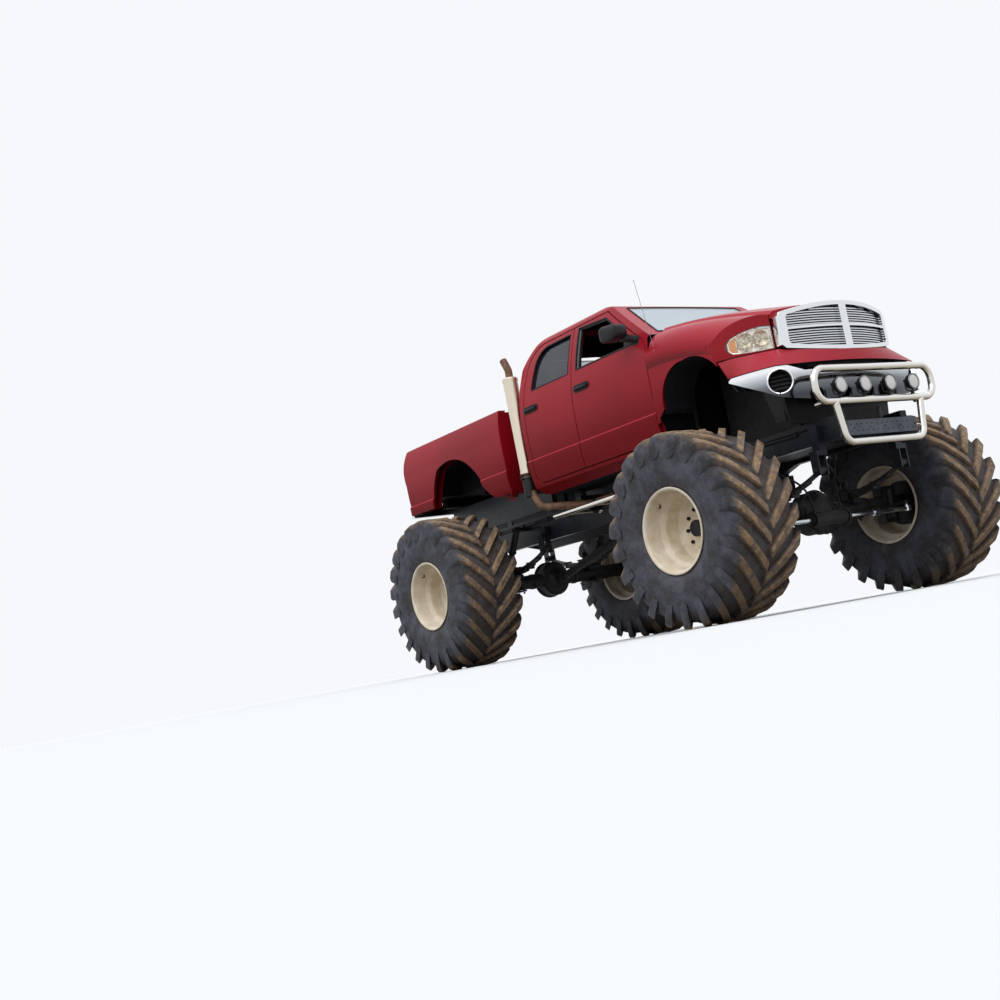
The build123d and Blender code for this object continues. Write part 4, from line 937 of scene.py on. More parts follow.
def makeSpotLamps():
    parts = []
    for name, (finish, rows) in spotRows.items():
        part = turnedPiece(name, rows, 48, "X", closed=name != "spotLens")
        smoothShade(part)
        parts.append((part, finish))
    x, pivot = spotLamp["x"], spotLamp["pivot"]
    loop = [(pivot, 0.071, 0.02), (pivot, 0.071, -0.045), (x, 0.060, -0.076)]
    feet = [tubePiece("spotStirrup", [(a, -b, c) for a, b, c in loop] + loop[::-1], 0.006)]
    foot = [(-0.100, 0.014), (-0.092, 0.016), (-0.078, 0.012), (-0.066, 0.012), (-0.064, 0.003)]
    feet.append(turnedPiece("spotFoot", foot, 16, "Z", centre=(x, 0, 0)))
    for side in (-1, 1):
        feet.append(nutAt("spotKnob", 0.009, 0.008, (pivot, side * 0.069, 0.012), (0, side, 0)))
    parts.append((joinPieces(feet, "spotFeet"), "castIron"))
    moves = [moved((0, y, spotLamp["height"])) for y in spotLamp["places"]]
    for part, finish in parts:
        whole = repeated(part, moves, part.name)
        fit(whole, finish, "truck")
        if whole.name == "spotShell":
            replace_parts(whole, "spot_lamps")


# Bull bar: weld beads where the lower loop meets the upper one, and bolts on the front beam
def makeBullBarDetail():
    beads = []
    for side in (-1, 1):
        bead = torusPiece("weld", 0.0300, 0.0045, 36, 8)
        bead.location = (1.05, side * 0.523 * 0.995, -0.0515)
        fixPlace(bead)
        beads.append(bead)
    fit(joinPieces(beads, "bullBarWelds"), "polishedStainless", "truck")
    spots = [place(1.038, 0.062 * k + 0.031, -0.2415) for k in (-6, -3, 0, 3, 6)]
    fixings("beamBolts", spots, 0.008, 0.007, (1, 0, 0), "beamEnamel")
    for name, side in sides:
        spots = [place(1.012, side * 0.4255, z) for z in (-0.275, -0.215)]
        fixings("beamSideBolts" + name, spots, 0.010, 0.008, (0, side, 0), "castIron")


# Cooler: fins between two end tanks
cooler = {"low": Vector((0.968, -0.418, -0.176)), "high": Vector((1.0115, 0.058, -0.068)), "fins": 12,
          "pitch": 0.0088, "tank": 0.03}


def makeCooler():
    low, high, tank = cooler["low"], cooler["high"], cooler["tank"]
    pieces = [softBlock("coolerTankA", low, (high.x, low.y + tank, high.z), 0.006, 2),
              softBlock("coolerTankB", (low.x, high.y - tank, low.z), high, 0.006, 2)]
    for k in range(cooler["fins"]):
        z = low.z + 0.006 + k * cooler["pitch"]
        pieces.append(blockPiece("coolerRow", (low.x + 0.003, low.y + 0.028, z - 0.0022),
                                 (high.x - 0.004, high.y - 0.028, z + 0.0022), 0.0012))
    core = blockPiece("coolerCore", low + Vector((0.012, tank, 0.004)),
                      high - Vector((0.014, tank, 0.004)), 0)
    whole = joinPieces(pieces + [core], "coolerFins")
    fit(whole, "finAlloy", "truck")
    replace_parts(whole, "oil_cooler")


makeGrilleSlats()
makeHeadlamp()
makeBumperLamps()
makeSpotLamps()
makeBullBarDetail()
makeCooler()
print("lamps, bull bar and cooler")

# Doors: mirrors, handles, rubbers round the windows
mirror = {
    "low": (-0.805, -1.240, 0.994), "high": (-0.604, -1.012, 1.156), "edge": 0.052,
    "middle": (-1.120, 1.07), "taper": 0.84,
    "arm": [((-0.688, -1.060, 1.036), 0.052, 0.030), ((-0.665, -1.015, 1.018), 0.046, 0.024),
            ((-0.640, -0.975, 1.004), 0.044, 0.022), ((-0.622, -0.944, 0.998), 0.048, 0.026)],
    "sail": [(-0.655, 0.972), (-0.800, 0.972), (-0.800, 1.094)],
    # the foot closes the arm on the door's corner, as wide as the arm
    "foot": [(-0.578, -0.964, 0.950), (-0.690, -0.966, 0.950), (-0.690, -0.950, 1.035),
             (-0.612, -0.952, 1.022)],
}
handleCup = {"length": 0.235, "height": 0.070, "corners": 28,
             "front": (-1.455, 0.790), "rear": (-2.290, 0.790)}
frontWindow = [(-0.640, 0.968), (-1.085, 1.345), (-1.515, 1.372), (-1.535, 0.968)]
rearWindow = [(-1.655, 0.966), (-1.635, 1.352), (-2.040, 1.352), (-2.112, 1.330), (-2.170, 1.285),
              (-2.212, 1.220), (-2.242, 1.130), (-2.262, 1.045), (-2.275, 0.966)]
windowTubes = [  # name, window, shrunk by, inset, radius, finish, row of doors
    ("windowRubber", frontWindow, 0.006, 0.002, 0.0085, "blackRubber", "front"),
    ("windowChannel", frontWindow, 0.016, 0.022, 0.0120, "greyTrim", "front"),
    ("windowLining", frontWindow, 0.010, 0.043, 0.0110, "blackRubber", "front"),
    ("rearWindowRubber", rearWindow, 0.004, 0.003, 0.0075, "blackRubber", "rear"),
]


def dividedLoop(points, finer):
    # More points along each straight of a closed loop
    spots = []
    for (x0, z0), (x1, z1) in zip(points, points[1:] + points[:1]):
        steps = max(1, int(math.hypot(x1 - x0, z1 - z0) / finer))
        spots += [(x0 + (x1 - x0) * k / steps, z0 + (z1 - z0) * k / steps) for k in range(steps)]
    return spots


def windowTube(name, window, amount, inset, radius):
    # Each corner of the side view is moved inwards, and the loop is laid on the right side of the body
    middle = Vector((sum(p[0] for p in window), sum(p[1] for p in window))) / len(window)
    smaller = [tuple(Vector(p) + (middle - Vector(p)).normalized() * amount) for p in window]
    return outlineTube(name, [(x, -(sideHalf(z) - inset), z) for x, z in dividedLoop(smaller, 0.08)], radius)


def sinkFace(piece, normal, inset, push):
    # The face that looks along normal is inset and pushed in
    editMode(piece)
    bpy.ops.mesh.select_mode(type="FACE")
    bpy.ops.mesh.select_all(action="DESELECT")
    objectMode()
    for polygon in piece.data.polygons:
        polygon.select = polygon.normal.dot(Vector(normal)) > 0.99
    bpy.ops.object.mode_set(mode="EDIT")
    bpy.ops.mesh.inset(thickness=inset)
    extrude(push)
    bpy.ops.mesh.select_mode(type="VERT")
    objectMode()


def makeHandle(name, x, z):
    half = handleCup["length"] / 2
    high = handleCup["height"] / 2
    y = -sideHalf(z)
    # the ends are rounded to the cup's full height, and the middle is sunk round the grip
    corners = []
    for k in range(handleCup["corners"]):
        turn = 2 * math.pi * (k + 0.5) / handleCup["corners"]
        end = half - high if math.cos(turn) > 0 else high - half
        corners.append((x + end + high * math.cos(turn), y - 0.010, z + high * math.sin(turn)))
    cup = flatPiece(name + "Cup", corners, 0.018, (0, 1, 0))
    sinkFace(cup, (0, -1, 0), 0.009, (0, 0.007, 0))
    breakEdges(cup, 0.0025, 2, 50)
    pieces = [cup, softBlock(name + "Grip", (x - half + 0.020, y - 0.026, z - 0.014),
                             (x + half - 0.022, y - 0.011, z + 0.015), 0.0068, 3)]
    for end in (x - half + 0.034, x + half - 0.040):
        pieces.append(blockPiece(name + "Stalk", (end - 0.009, y - 0.014, z - 0.010),
                                 (end + 0.009, y + 0.006, z + 0.010), 0.002))
    handle = joinPieces(pieces, name)
    lean = math.degrees(math.atan2(sideHalf(z - 0.04) - sideHalf(z + 0.04), 0.08))
    handle.data.transform(moved((0, y, z)) @ turnAbout("X", -lean) @ moved((0, -y, -z)))
    smoothShade(handle, 40)
    return handle


def makeMirror():
    (y0, z0), taper = mirror["middle"], mirror["taper"]
    head = blockPiece("mirrorHead", mirror["low"], mirror["high"], 0)
    for vertex in head.data.vertices:
        if vertex.co.x > -0.7:
            vertex.co.z = (vertex.co.z - z0) * taper + z0
            vertex.co.y = (vertex.co.y - y0) * taper + y0
        if vertex.co.z < z0 and vertex.co.y > -1.1:
            vertex.co.z += 0.016
    editMode(head)
    bpy.ops.mesh.bevel(offset=mirror["edge"], segments=7, affect="EDGES")
    objectMode()
    sinkFace(head, (-1, 0, 0), 0.004, (0.010, 0, 0))
    head.data.materials.append(materials["blackPlastic"])
    head.data.materials.append(materials["mirrorGlass"])
    for polygon in head.data.polygons:
        if polygon.normal.x < -0.99 and polygon.center.x > mirror["low"][0] + 0.006:
            polygon.material_index = 1
    smoothShade(head, 45)
    arm = sweptPiece("mirrorArm", mirror["arm"])
    breakEdges(arm, 0.010, 3, 30)
    smoothShade(arm, 50)
    corners = [(x, -(sideHalf(z) + 0.003), z) for x, z in mirror["sail"]]
    sail = flatPiece("mirrorSail", corners, 0.024, (0, 1, 0), 0.003)
    foot = flatPiece("mirrorFoot", mirror["foot"], 0.020, (0, 1, 0), 0.006)
    for piece in (arm, sail, foot):
        piece.data.materials.append(materials["blackPlastic"])
    return joinPieces([head, arm, sail, foot], "mirror")


def makeDoorDetail():
    parts = [(makeMirror(), None, "front", None)]
    for name, window, amount, inset, radius, finish, row in windowTubes:
        parts.append((windowTube(name, window, amount, inset, radius), finish, row, None))
    handle = makeHandle("doorHandle", *handleCup["front"])
    rearHandle = makeHandle("rearDoorHandle", *handleCup["rear"])
    parts.insert(4, (handle, "blackPlastic", "front", "door_trim_front_"))
    parts.append((rearHandle, "blackPlastic", "rear", "handle_rear_"))
    for side, makeTwin in (("right", copyPiece), ("left", mirrorAcross)):
        for part, finish, row, replaced in parts:
            twin = makeTwin(part, part.name + side.title())
            fit(twin, finish, "door_" + row + "_" + side)
            if replaced:
                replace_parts(twin, replaced + side)
    for part, *_ in parts:
        bpy.data.objects.remove(part)


# Windscreen: its rubber, the wipers and a mast aerial on the right wing
screen = {
    "foot": Vector((-0.445, 0, 0.985)), "head": Vector((-1.010, 0, 1.425)),
    "edge": [(0.0, 0.060), (0.800, 0.080), (0.688, 0.661), (0.350, 0.674), (0.0, 0.677)],
    "rear": [(-0.632, 1.016), (0.632, 1.016), (0.594, 1.293), (0.300, 1.308), (0.0, 1.311), (-0.300, 1.308),
             (-0.594, 1.293)],
    # across from the pivot, up the glass and proud of it; flat at the foot, where the open hood's
    # rear edge passes 25 mm above it
    "arm": [(0, 0.042, 0.009), (0.12, 0.078, 0.014), (0.30, 0.118, 0.018), (0.34, 0.126, 0.014)],
    "blade": [(0.14, 0.094, 0.009), (0.33, 0.130, 0.011), (0.50, 0.168, 0.011)],
    "post": [(0, 0.012), (0.010, 0.012), (0.014, 0.007), (0.015, 0.003)],
    "pivots": (0.62, -0.02),
}


def onScreen(across, up, proud):
    run = (screen["head"] - screen["foot"]).normalized()
    return screen["foot"] + run * up + Vector((run.z, 0, -run.x)) * proud + Vector((0, across, 0))


def makeScreenDetail():
    half = screen["edge"]
    loop = dividedLoop(half + [(-y, s) for y, s in reversed(half[1:-1])], 0.1)
    rubber = outlineTube("screenRubber", [onScreen(y * 0.990, s, 0.001) for y, s in loop], 0.0085)
    fit(rubber, "blackRubber", "truck")
    back = outlineTube("rearScreenRubber", [(-2.4785, y, z) for y, z in screen["rear"]], 0.0085)
    fit(back, "blackRubber", "truck")
    wipers = []
    for pivot in screen["pivots"]:
        arm, blade = [[onScreen(pivot - across, up, proud) for across, up, proud in screen[key]]
                      for key in ("arm", "blade")]
        wipers.append(tubePiece("wiperArm", arm, 0.0055))
        wipers.append(outlineTube("wiperBlade", blade, 0.0055, closed=False, sections=2))
        post = turnedPiece("wiperPost", screen["post"], 20, "Z")
        post.data.transform(moved(onScreen(pivot, 0.042, 0.0)) @ aimed(onScreen(0, 0, 1) - onScreen(0, 0, 0)))
        wipers.append(post)
    wiper = joinPieces(wipers, "wipers")
    smoothShade(wiper, 45)
    fit(wiper, "blackRubber", "truck")


aerial = {"foot": Vector((-0.372, -0.992, 0.822)), "tip": Vector((-0.468, -0.992, 1.488)),
          "base": [(-0.012, 0.017), (0.004, 0.017), (0.012, 0.011), (0.034, 0.007), (0.042, 0.003)],
          "bead": [(-0.004, 0.002), (0, 0.0038), (0.004, 0.0038), (0.007, 0.001)]}


def makeAerial():
    foot, tip = aerial["foot"], aerial["tip"]
    run = tip - foot
    mast = tubePiece("aerialMast", [foot, foot + run * 0.5, tip], 0.0022)
    base = turnedPiece("aerialFoot", aerial["base"], 24, "Z")
    base.data.transform(moved(foot) @ aimed(run))
    bead = turnedPiece("aerialTip", aerial["bead"], 12, "Z")
    bead.data.transform(moved(tip - run.normalized() * 0.008) @ aimed(run))
    whole = joinPieces([mast, base, bead], "aerial")
    smoothShade(whole, 45)
    fit(whole, "darkChrome", "truck")


makeDoorDetail()
makeScreenDetail()
makeAerial()
print("doors, screens and aerial")

# Seats, dashboard and steering wheel
cabin = {
    "fronts": (-1.420, 0.420, 0.540), "bench": (-2.230, 0.0, 1.500),
    "dash": [(-0.548, 0.475), (-0.548, 0.855), (-0.620, 0.880), (-0.700, 0.862), (-0.752, 0.795),
             (-0.774, 0.700), (-0.762, 0.600), (-0.700, 0.478)],
    "dashHalf": 0.820,
    "dashBlocks": [  # name, two corners, edge and its steps
        ("dashHood", (-0.770, 0.250, 0.845), (-0.640, 0.590, 0.915), 0.024, 4),
        ("dashCentre", (-0.800, -0.140, 0.360), (-0.700, 0.140, 0.760), 0.018, 3),
        ("dashFoot", (-0.560, -0.500, 0.001), (-0.531, 0.500, 0.490), 0.006, 2),
        ("floorTunnel", (-2.300, -0.130, 0.001), (-0.600, 0.130, 0.070), 0.02, 3),
    ],
    "vents": (-0.72, -0.20, 0.20, 0.72),
    "lever": [(-0.880, 0.020, 0.060), (-0.900, 0.020, 0.300), (-0.890, 0.020, 0.420)],
    "knob": [(0.0, 0.010), (0.010, 0.020), (0.028, 0.022), (0.040, 0.014), (0.044, 0.003)],
    "gaiter": [(0.001, 0.085), (0.040, 0.070), (0.090, 0.036), (0.120, 0.016), (0.124, 0.009)],
    "wheelCentre": (-0.905, 0.420, 0.780), "wheelAxis": (-0.145, 0, 0.080), "wheelRadius": 0.185,
    "boss": [(-0.030, 0.030), (-0.020, 0.058), (0.000, 0.064), (0.012, 0.055), (0.018, 0.030),
             (0.019, 0.003)],
    "column": [(-0.176, 0.040), (-0.050, 0.034), (-0.028, 0.030)],
}


def cushion(name, size, crown, seams):
    # A crowned pad: a rounded block, subdivided, blown out in its middle and pinched along its sewn channels
    clearSelection()
    bpy.ops.mesh.primitive_cube_add(size=1)
    pad = bpy.context.object
    pad.name = name
    pad.scale = size
    fixPlace(pad)
    editMode(pad)
    bpy.ops.mesh.bevel(offset=min(size) * 0.28, segments=3, affect="EDGES")
    bpy.ops.mesh.subdivide(number_cuts=5)
    objectMode()
    addModifier(pad, "SUBSURF", levels=1, render_levels=1)
    deep, wide = size[0] / 2, size[1] / 2
    for vertex in pad.data.vertices:
        x, y, z = vertex.co
        if z <= 0:
            continue
        middle = max(0.0, 1 - (x / deep) ** 2) * max(0.0, 1 - (y / wide) ** 2)
        vertex.co.z += crown * middle
        for k in range(1, seams + 1):
            line = -wide + 2 * wide * k / (seams + 1)
            vertex.co.z -= 0.010 * math.exp(-((y - line) / 0.010) ** 2) * min(1, middle * 3)
    faceOut(pad)
    smoothShade(pad, 60)
    return pad


def makeSeat(name, x, y, width, seams, rests):
    pads = [(cushion(name + "Cushion", (0.500, width, 0.120), 0.016, seams), (x + 0.250, y, 0.262), -3),
            (cushion(name + "Back", (0.560, width, 0.120), 0.016, seams), (x + 0.030, y, 0.590), 78)]
    for k, offset in enumerate(rests):
        rest = cushion(name + "Headrest" + str(k), (0.150, 0.260, 0.090), 0.010, 0)
        pads.append((rest, (x - 0.062, y + offset, 0.915), 78))
    for pad, spot, lean in pads:
        pad.data.transform(moved(spot) @ turnAbout("Y", lean))
        fit(pad, "seatCloth", "truck")
    half = width / 2
    pieces = [softBlock(name + "Base", (x + 0.030, y - half + 0.05, 0.001),
                        (x + 0.440, y + half - 0.05, 0.196), 0.02, 3),
              softBlock(name + "Shell", (x - 0.005, y - half + 0.03, 0.150),
                        (x + 0.045, y + half - 0.03, 0.260), 0.012, 2)]
    for offset in rests:
        for across in (y + offset - 0.060, y + offset + 0.060):
            stay = [(x - 0.026, across, 0.820), (x - 0.052, across, 0.885)]
            pieces.append(tubePiece(name + "Stay", stay, 0.006, order=2))
    fit(joinPieces(pieces, name + "Frame"), "blackPlastic", "truck")
    return pads[0][0]


def makeCabin():
    x, y, width = cabin["fronts"]
    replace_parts(makeSeat("driverSeat", x, y, width, 3, (0.0,)), "interior")
    makeSeat("passengerSeat", x, -y, width, 3, (0.0,))
    makeSeat("rearBench", *cabin["bench"], 5, (-0.47, 0.0, 0.47))
    half = cabin["dashHalf"]
    dash = flatPiece("dashboard", [(x, -half, z) for x, z in cabin["dash"]], 2 * half, (0, 1, 0))
    breakEdges(dash, 0.018, 4, 15)
    smoothShade(dash, 50)
    pieces = [dash] + [softBlock(*row) for row in cabin["dashBlocks"]]
    for y in cabin["vents"]:
        pieces.append(softBlock("dashVent", (-0.782, y - 0.055, 0.700), (-0.745, y + 0.055, 0.755), 0.008, 2))
    pieces.append(tubePiece("gearLever", cabin["lever"], 0.009))
    pieces.append(turnedPiece("gearKnob", cabin["knob"], 20, "Z", centre=(-0.890, 0.020, 0.415)))
    pieces.append(turnedPiece("gearGaiter", cabin["gaiter"], 20, "Z", centre=(-0.882, 0.020, 0.0)))
    fit(joinPieces(pieces, "dashboard"), "blackPlastic", "truck")
    ring = torusPiece("steeringRing", cabin["wheelRadius"], 0.014, 64, 14)
    boss = turnedPiece("steeringBoss", cabin["boss"], 32, "Z")
    column = turnedPiece("steeringColumn", cabin["column"], 24, "Z")
    spoke = blockPiece("steeringSpoke", (0.045, -0.014, -0.010), (0.178, 0.014, 0.002), 0.004, 2)
    spokes = repeated(spoke, [turnAbout("Z", angle) for angle in (90, -90, 180)], "steeringSpokes")
    whole = joinPieces([ring, boss, column, spokes], "steeringWheel")
    whole.data.transform(moved(cabin["wheelCentre"]) @ aimed(cabin["wheelAxis"]))
    smoothShade(whole, 45)
    fit(whole, "blackRubber", "truck")


makeCabin()
print("cabin")

# Chassis: spring clamps and bolts, brake pipes, shock boots, axle covers
chassis = {
    "springY": 0.500, "axleZ": -0.795, "padTop": -0.708, "axles": (0.088, -3.780), "railOuter": 0.425,
    "bumpStop": [(0.086, 0.034), (0.120, 0.040), (0.150, 0.030), (0.166, 0.012)],
    "railBolts": (0.780, -0.620, -1.700, -2.700, -3.300, -4.650),
    "hangerBolts": ((-0.570, -0.385), (0.746, -0.285), (-3.122, -0.385), (-4.438, -0.385)),
    "brakePipe": [(0.700, -0.160), (0.100, -0.150), (-0.500, -0.140), (-1.000, -0.192), (-2.500, -0.196),
                  (-3.500, -0.196), (-4.300, -0.200)],
    "fuelPipe": [(0.500, -0.184), (-0.500, -0.170), (-1.000, -0.220), (-4.200, -0.222)],
    "mounts": (-0.640, -1.450, -2.250),
    "mountRubber": [(-0.125, 0.041), (-0.122, 0.052), (-0.092, 0.055), (-0.088, 0.044), (-0.076, 0.055),
                    (-0.064, 0.052), (-0.0615, 0.041)],
    "coverRing": [(0.062, 0.186), (0.066, 0.196), (0.084, 0.196), (0.088, 0.186)],
    "coverBolts": 12,
    "axleBand": [(-0.020, 0.0745), (-0.018, 0.083), (0.018, 0.083), (0.020, 0.0745)],
}
ram = {
    "centre": Vector((0.288, 0, -0.867)),
    "gland": [(0.214, 0.0228), (0.214, 0.046), (0.232, 0.046), (0.238, 0.034), (0.240, 0.0228)],
    "port": [(0.052, 0.013), (0.076, 0.013), (0.080, 0.010), (0.094, 0.010)], "portY": 0.165,
    "pipe": [(0.288, 0.165, -0.775), (0.288, 0.165, -0.700), (0.240, 0.200, -0.560), (0.180, 0.300, -0.470),
             (0.120, 0.400, -0.380), (0.100, 0.428, -0.300)],
}


def shifted(rows, along):
    return [(height + along, radius) for height, radius in rows]


def makeSpringBolts():
    low = chassis["axleZ"] - 0.086
    pad = chassis["padTop"]
    top = pad + 0.086
    pieces, nuts, bands = [], [], []
    for x in chassis["axles"]:
        for side in (-1, 1):
            y = side * chassis["springY"]
            for along in (x - 0.052, x + 0.052):
                for across in (y - 0.058, y + 0.058):
                    rows = [(low, 0.0085), (top, 0.0085), (top + 0.004, 0.006)]
                    pieces.append(turnedPiece("uBolt", rows, 10, "Z", centre=(along, across, 0)))
                    nuts.append(place(along, across, low - 0.016))
            pieces.append(softBlock("uBoltPlate", (x - 0.080, y - 0.078, low - 0.012),
                                    (x + 0.080, y + 0.078, low + 0.006), 0.005, 2))
            pieces.append(softBlock("springCap", (x - 0.074, y - 0.070, pad + 0.074),
                                    (x + 0.074, y + 0.070, pad + 0.088), 0.004, 2))
            rows = shifted(chassis["bumpStop"], pad)
            pieces.append(turnedPiece("bumpStop", rows, 24, "Z", centre=(x, y, 0)))
    whole = joinPieces(pieces, "springClamps")
    smoothShade(whole, 40)
    fit(whole, "castIron", "truck")
    fixings("springNuts", nuts, 0.014, 0.014, (0, 0, -1), "springSteel")
    for x in chassis["axles"]:
        for y in (-chassis["springY"], chassis["springY"]):
            z = pad + 0.132 * (0.330 / 0.640) ** 2  # on the leaves' curve
            for along in (x - 0.330, x + 0.330):
                bands.append(softBlock("springBand", (along - 0.016, y - 0.043, z - 0.006),
                                       (along + 0.016, y + 0.043, z + 0.066), 0.004, 2))
            for end in (x - 0.658, x + 0.658):
                for outer in (-1, 1):
                    spot = (end, y + outer * 0.0525, -0.515)
                    bands.append(nutAt("eyeNut", 0.020, 0.014, spot, (0, outer, 0)))
    fit(joinPieces(bands, "springBands"), "springSteel", "truck")


def makeRailDetail():
    # Bolt rows along the rails, a brake pipe and its clips, and gussets at the cross members
    rows = [(x + dx, z) for x in chassis["railBolts"] for dx in (-0.025, 0.025) for z in (-0.212, -0.258)]
    rows += [(x + dx, z) for x, z in chassis["hangerBolts"] for dx in (-0.022, 0.022)]
    for name, side in sides:
        spots = [place(x, side * chassis["railOuter"], z) for x, z in rows]
        fixings("railBolts" + name, spots, 0.011, 0.009, (0, side, 0), "frameEnamel")
    pieces = [tubePiece("brakePipe", [(x, -0.432, z) for x, z in chassis["brakePipe"]], 0.005, order=2),
              tubePiece("fuelPipe", [(x, -0.434, z) for x, z in chassis["fuelPipe"]], 0.006, order=2)]
    for k in range(11):
        x = 0.500 - 0.45 * k
        z = -0.166 if x > -0.55 else -0.206
        pieces.append(blockPiece("pipeClip", (x - 0.010, -0.441, z - 0.026),
                                 (x + 0.010, -0.424, z + 0.020), 0.002))
    whole = joinPieces(pieces, "brakePipes")
    smoothShade(whole, 45)
    fit(whole, "castIron", "truck", both=True)
    pieces = []
    for x in chassis["mounts"]:
        for near in (x - 0.040, x + 0.034):
            corners = [(near, -0.4255, -0.176), (near, -0.600, -0.176), (near, -0.4255, -0.300)]
            pieces.append(flatPiece("mountGusset", corners, 0.006, (1, 0, 0), 0.001))
        pieces.append(turnedPiece("mountRubber", chassis["mountRubber"], 28, "Z", centre=(x, -0.600, 0)))
    fit(joinPieces(pieces, "mountGussets"), "castIron", "truck", both=True)


def makeAxleDetail():
    # A cover ring and bolts on each differential, and bands round the tubes
    pieces = []
    for x, out in zip(chassis["axles"], (1, -1)):
        centre = Vector((x, 0, chassis["axleZ"]))
        pieces.append(turnedPiece("coverRing", chassis["coverRing"], 48, "X", centre=centre, flip=out))
        for k in range(chassis["coverBolts"]):
            angle = 2 * math.pi * (k + 0.5) / chassis["coverBolts"]
            spot = centre + Vector((out * 0.087, 0.178 * math.cos(angle), 0.178 * math.sin(angle)))
            pieces.append(nutAt("coverBolt", 0.009, 0.008, spot, (out, 0, 0)))
        for along in (-0.70, -0.28, 0.28, 0.70):
            rows = shifted(chassis["axleBand"], along)
            pieces.append(turnedPiece("axleBand", rows, 36, centre=centre, flip=-1))
    whole = joinPieces(pieces, "axleFittings")
    smoothShade(whole, 40)
    fit(whole, "castIron", "truck")
    # the steering ram's glands, ports and pipes
    pieces = []
    for side in (-1, 1):
        rows = [(side * along, radius) for along, radius in ram["gland"]]
        pieces.append(turnedPiece("ramGland", rows, 32, centre=ram["centre"], closed=True, flip=-1))
        port = ram["centre"] + Vector((0, side * ram["portY"], 0))
        pieces.append(turnedPiece("ramPort", ram["port"], 16, "Z", centre=port))
        pieces.append(tubePiece("ramPipe", [(x, side * y, z) for x, y, z in ram["pipe"]], 0.009, sections=3))
        y = side * 0.4265
        pieces.append(blockPiece("pipeBracket", (0.075, y - 0.010, -0.320),
                                 (0.125, y + 0.010, -0.270), 0.003))
    whole = joinPieces(pieces, "steeringRamFittings")
    smoothShade(whole, 45)
    fit(whole, "castIron", "truck")


shock = {"ends": ((0.040, -0.685), (0.330, -0.250)), "y": 0.600, "ribs": 9,
         "ring": [(0.256, 0.038), (0.256, 0.044), (0.276, 0.044), (0.276, 0.038)]}


def makeShockBoots():
    # Rubber boots over the rods, lock rings at the ends of the sleeves, and bolts
    boot = [(0.045, 0.0262)]
    for k in range(shock["ribs"]):
        boot += [(0.052 + 0.021 * k, 0.036), (0.0625 + 0.021 * k, 0.029)]
    boot += [(0.246, 0.036), (0.252, 0.0262)]
    pieces = []
    for x, lean in zip(chassis["axles"], (-1, 1)):
        for side in (-1, 1):
            low, high = [Vector((x + lean * dx, side * shock["y"], z)) for dx, z in shock["ends"]]
            for part, rows, segments in (("shockBoot", boot, 22), ("shockRing", shock["ring"], 28)):
                piece = turnedPiece(part, rows, segments, "Z")
                piece.data.transform(moved(low) @ aimed(high - low))
                pieces.append(piece)
            for end in (low, high):
                pieces.append(nutAt("shockBolt", 0.016, 0.012, (end.x, side * 0.638, end.z), (0, side, 0)))
    whole = joinPieces(pieces, "shockBoots")
    smoothShade(whole, 45)
    fit(whole, "blackRubber", "truck")


intake = {"arc": [(0.780, -0.640), (0.842, -0.430), (0.868, -0.215), (0.878, 0.0), (0.868, 0.215),
                  (0.842, 0.430), (0.780, 0.640)],
          # back from the arc, height, half depth and half height of the panel and of each slat
          "rows": [(0.036, 0.315, 0.006, 0.082), (0.020, 0.256, 0.010, 0.005), (0.020, 0.282, 0.010, 0.005),
                   (0.020, 0.308, 0.010, 0.005), (0.020, 0.334, 0.010, 0.005)]}


def makeIntake():
    # A dark slatted panel that fills the gap between the painted cover and the bumper
    pieces = [sweptPiece("intakeSlat", [((x - back, y, z), deep, high) for x, y in intake["arc"]])
              for back, z, deep, high in intake["rows"]]
    fit(joinPieces(pieces, "bumperIntake"), "blackPlastic", "truck")


makeSpringBolts()
makeRailDetail()
makeAxleDetail()
makeShockBoots()
makeIntake()
print("chassis")

# Exhaust stacks: bands and a cap on the bright shields, a sleeve and clamps below them
stack = {"x": -2.590, "y": -0.955, "low": 0.204, "high": 1.180, "pipes": (-2.020, -1.700)}


def makeBand(name, rows, segments):
    # A closed ring round the stack
    return turnedPiece(name, rows, segments, "Z", centre=(stack["x"], stack["y"], 0), closed=True)


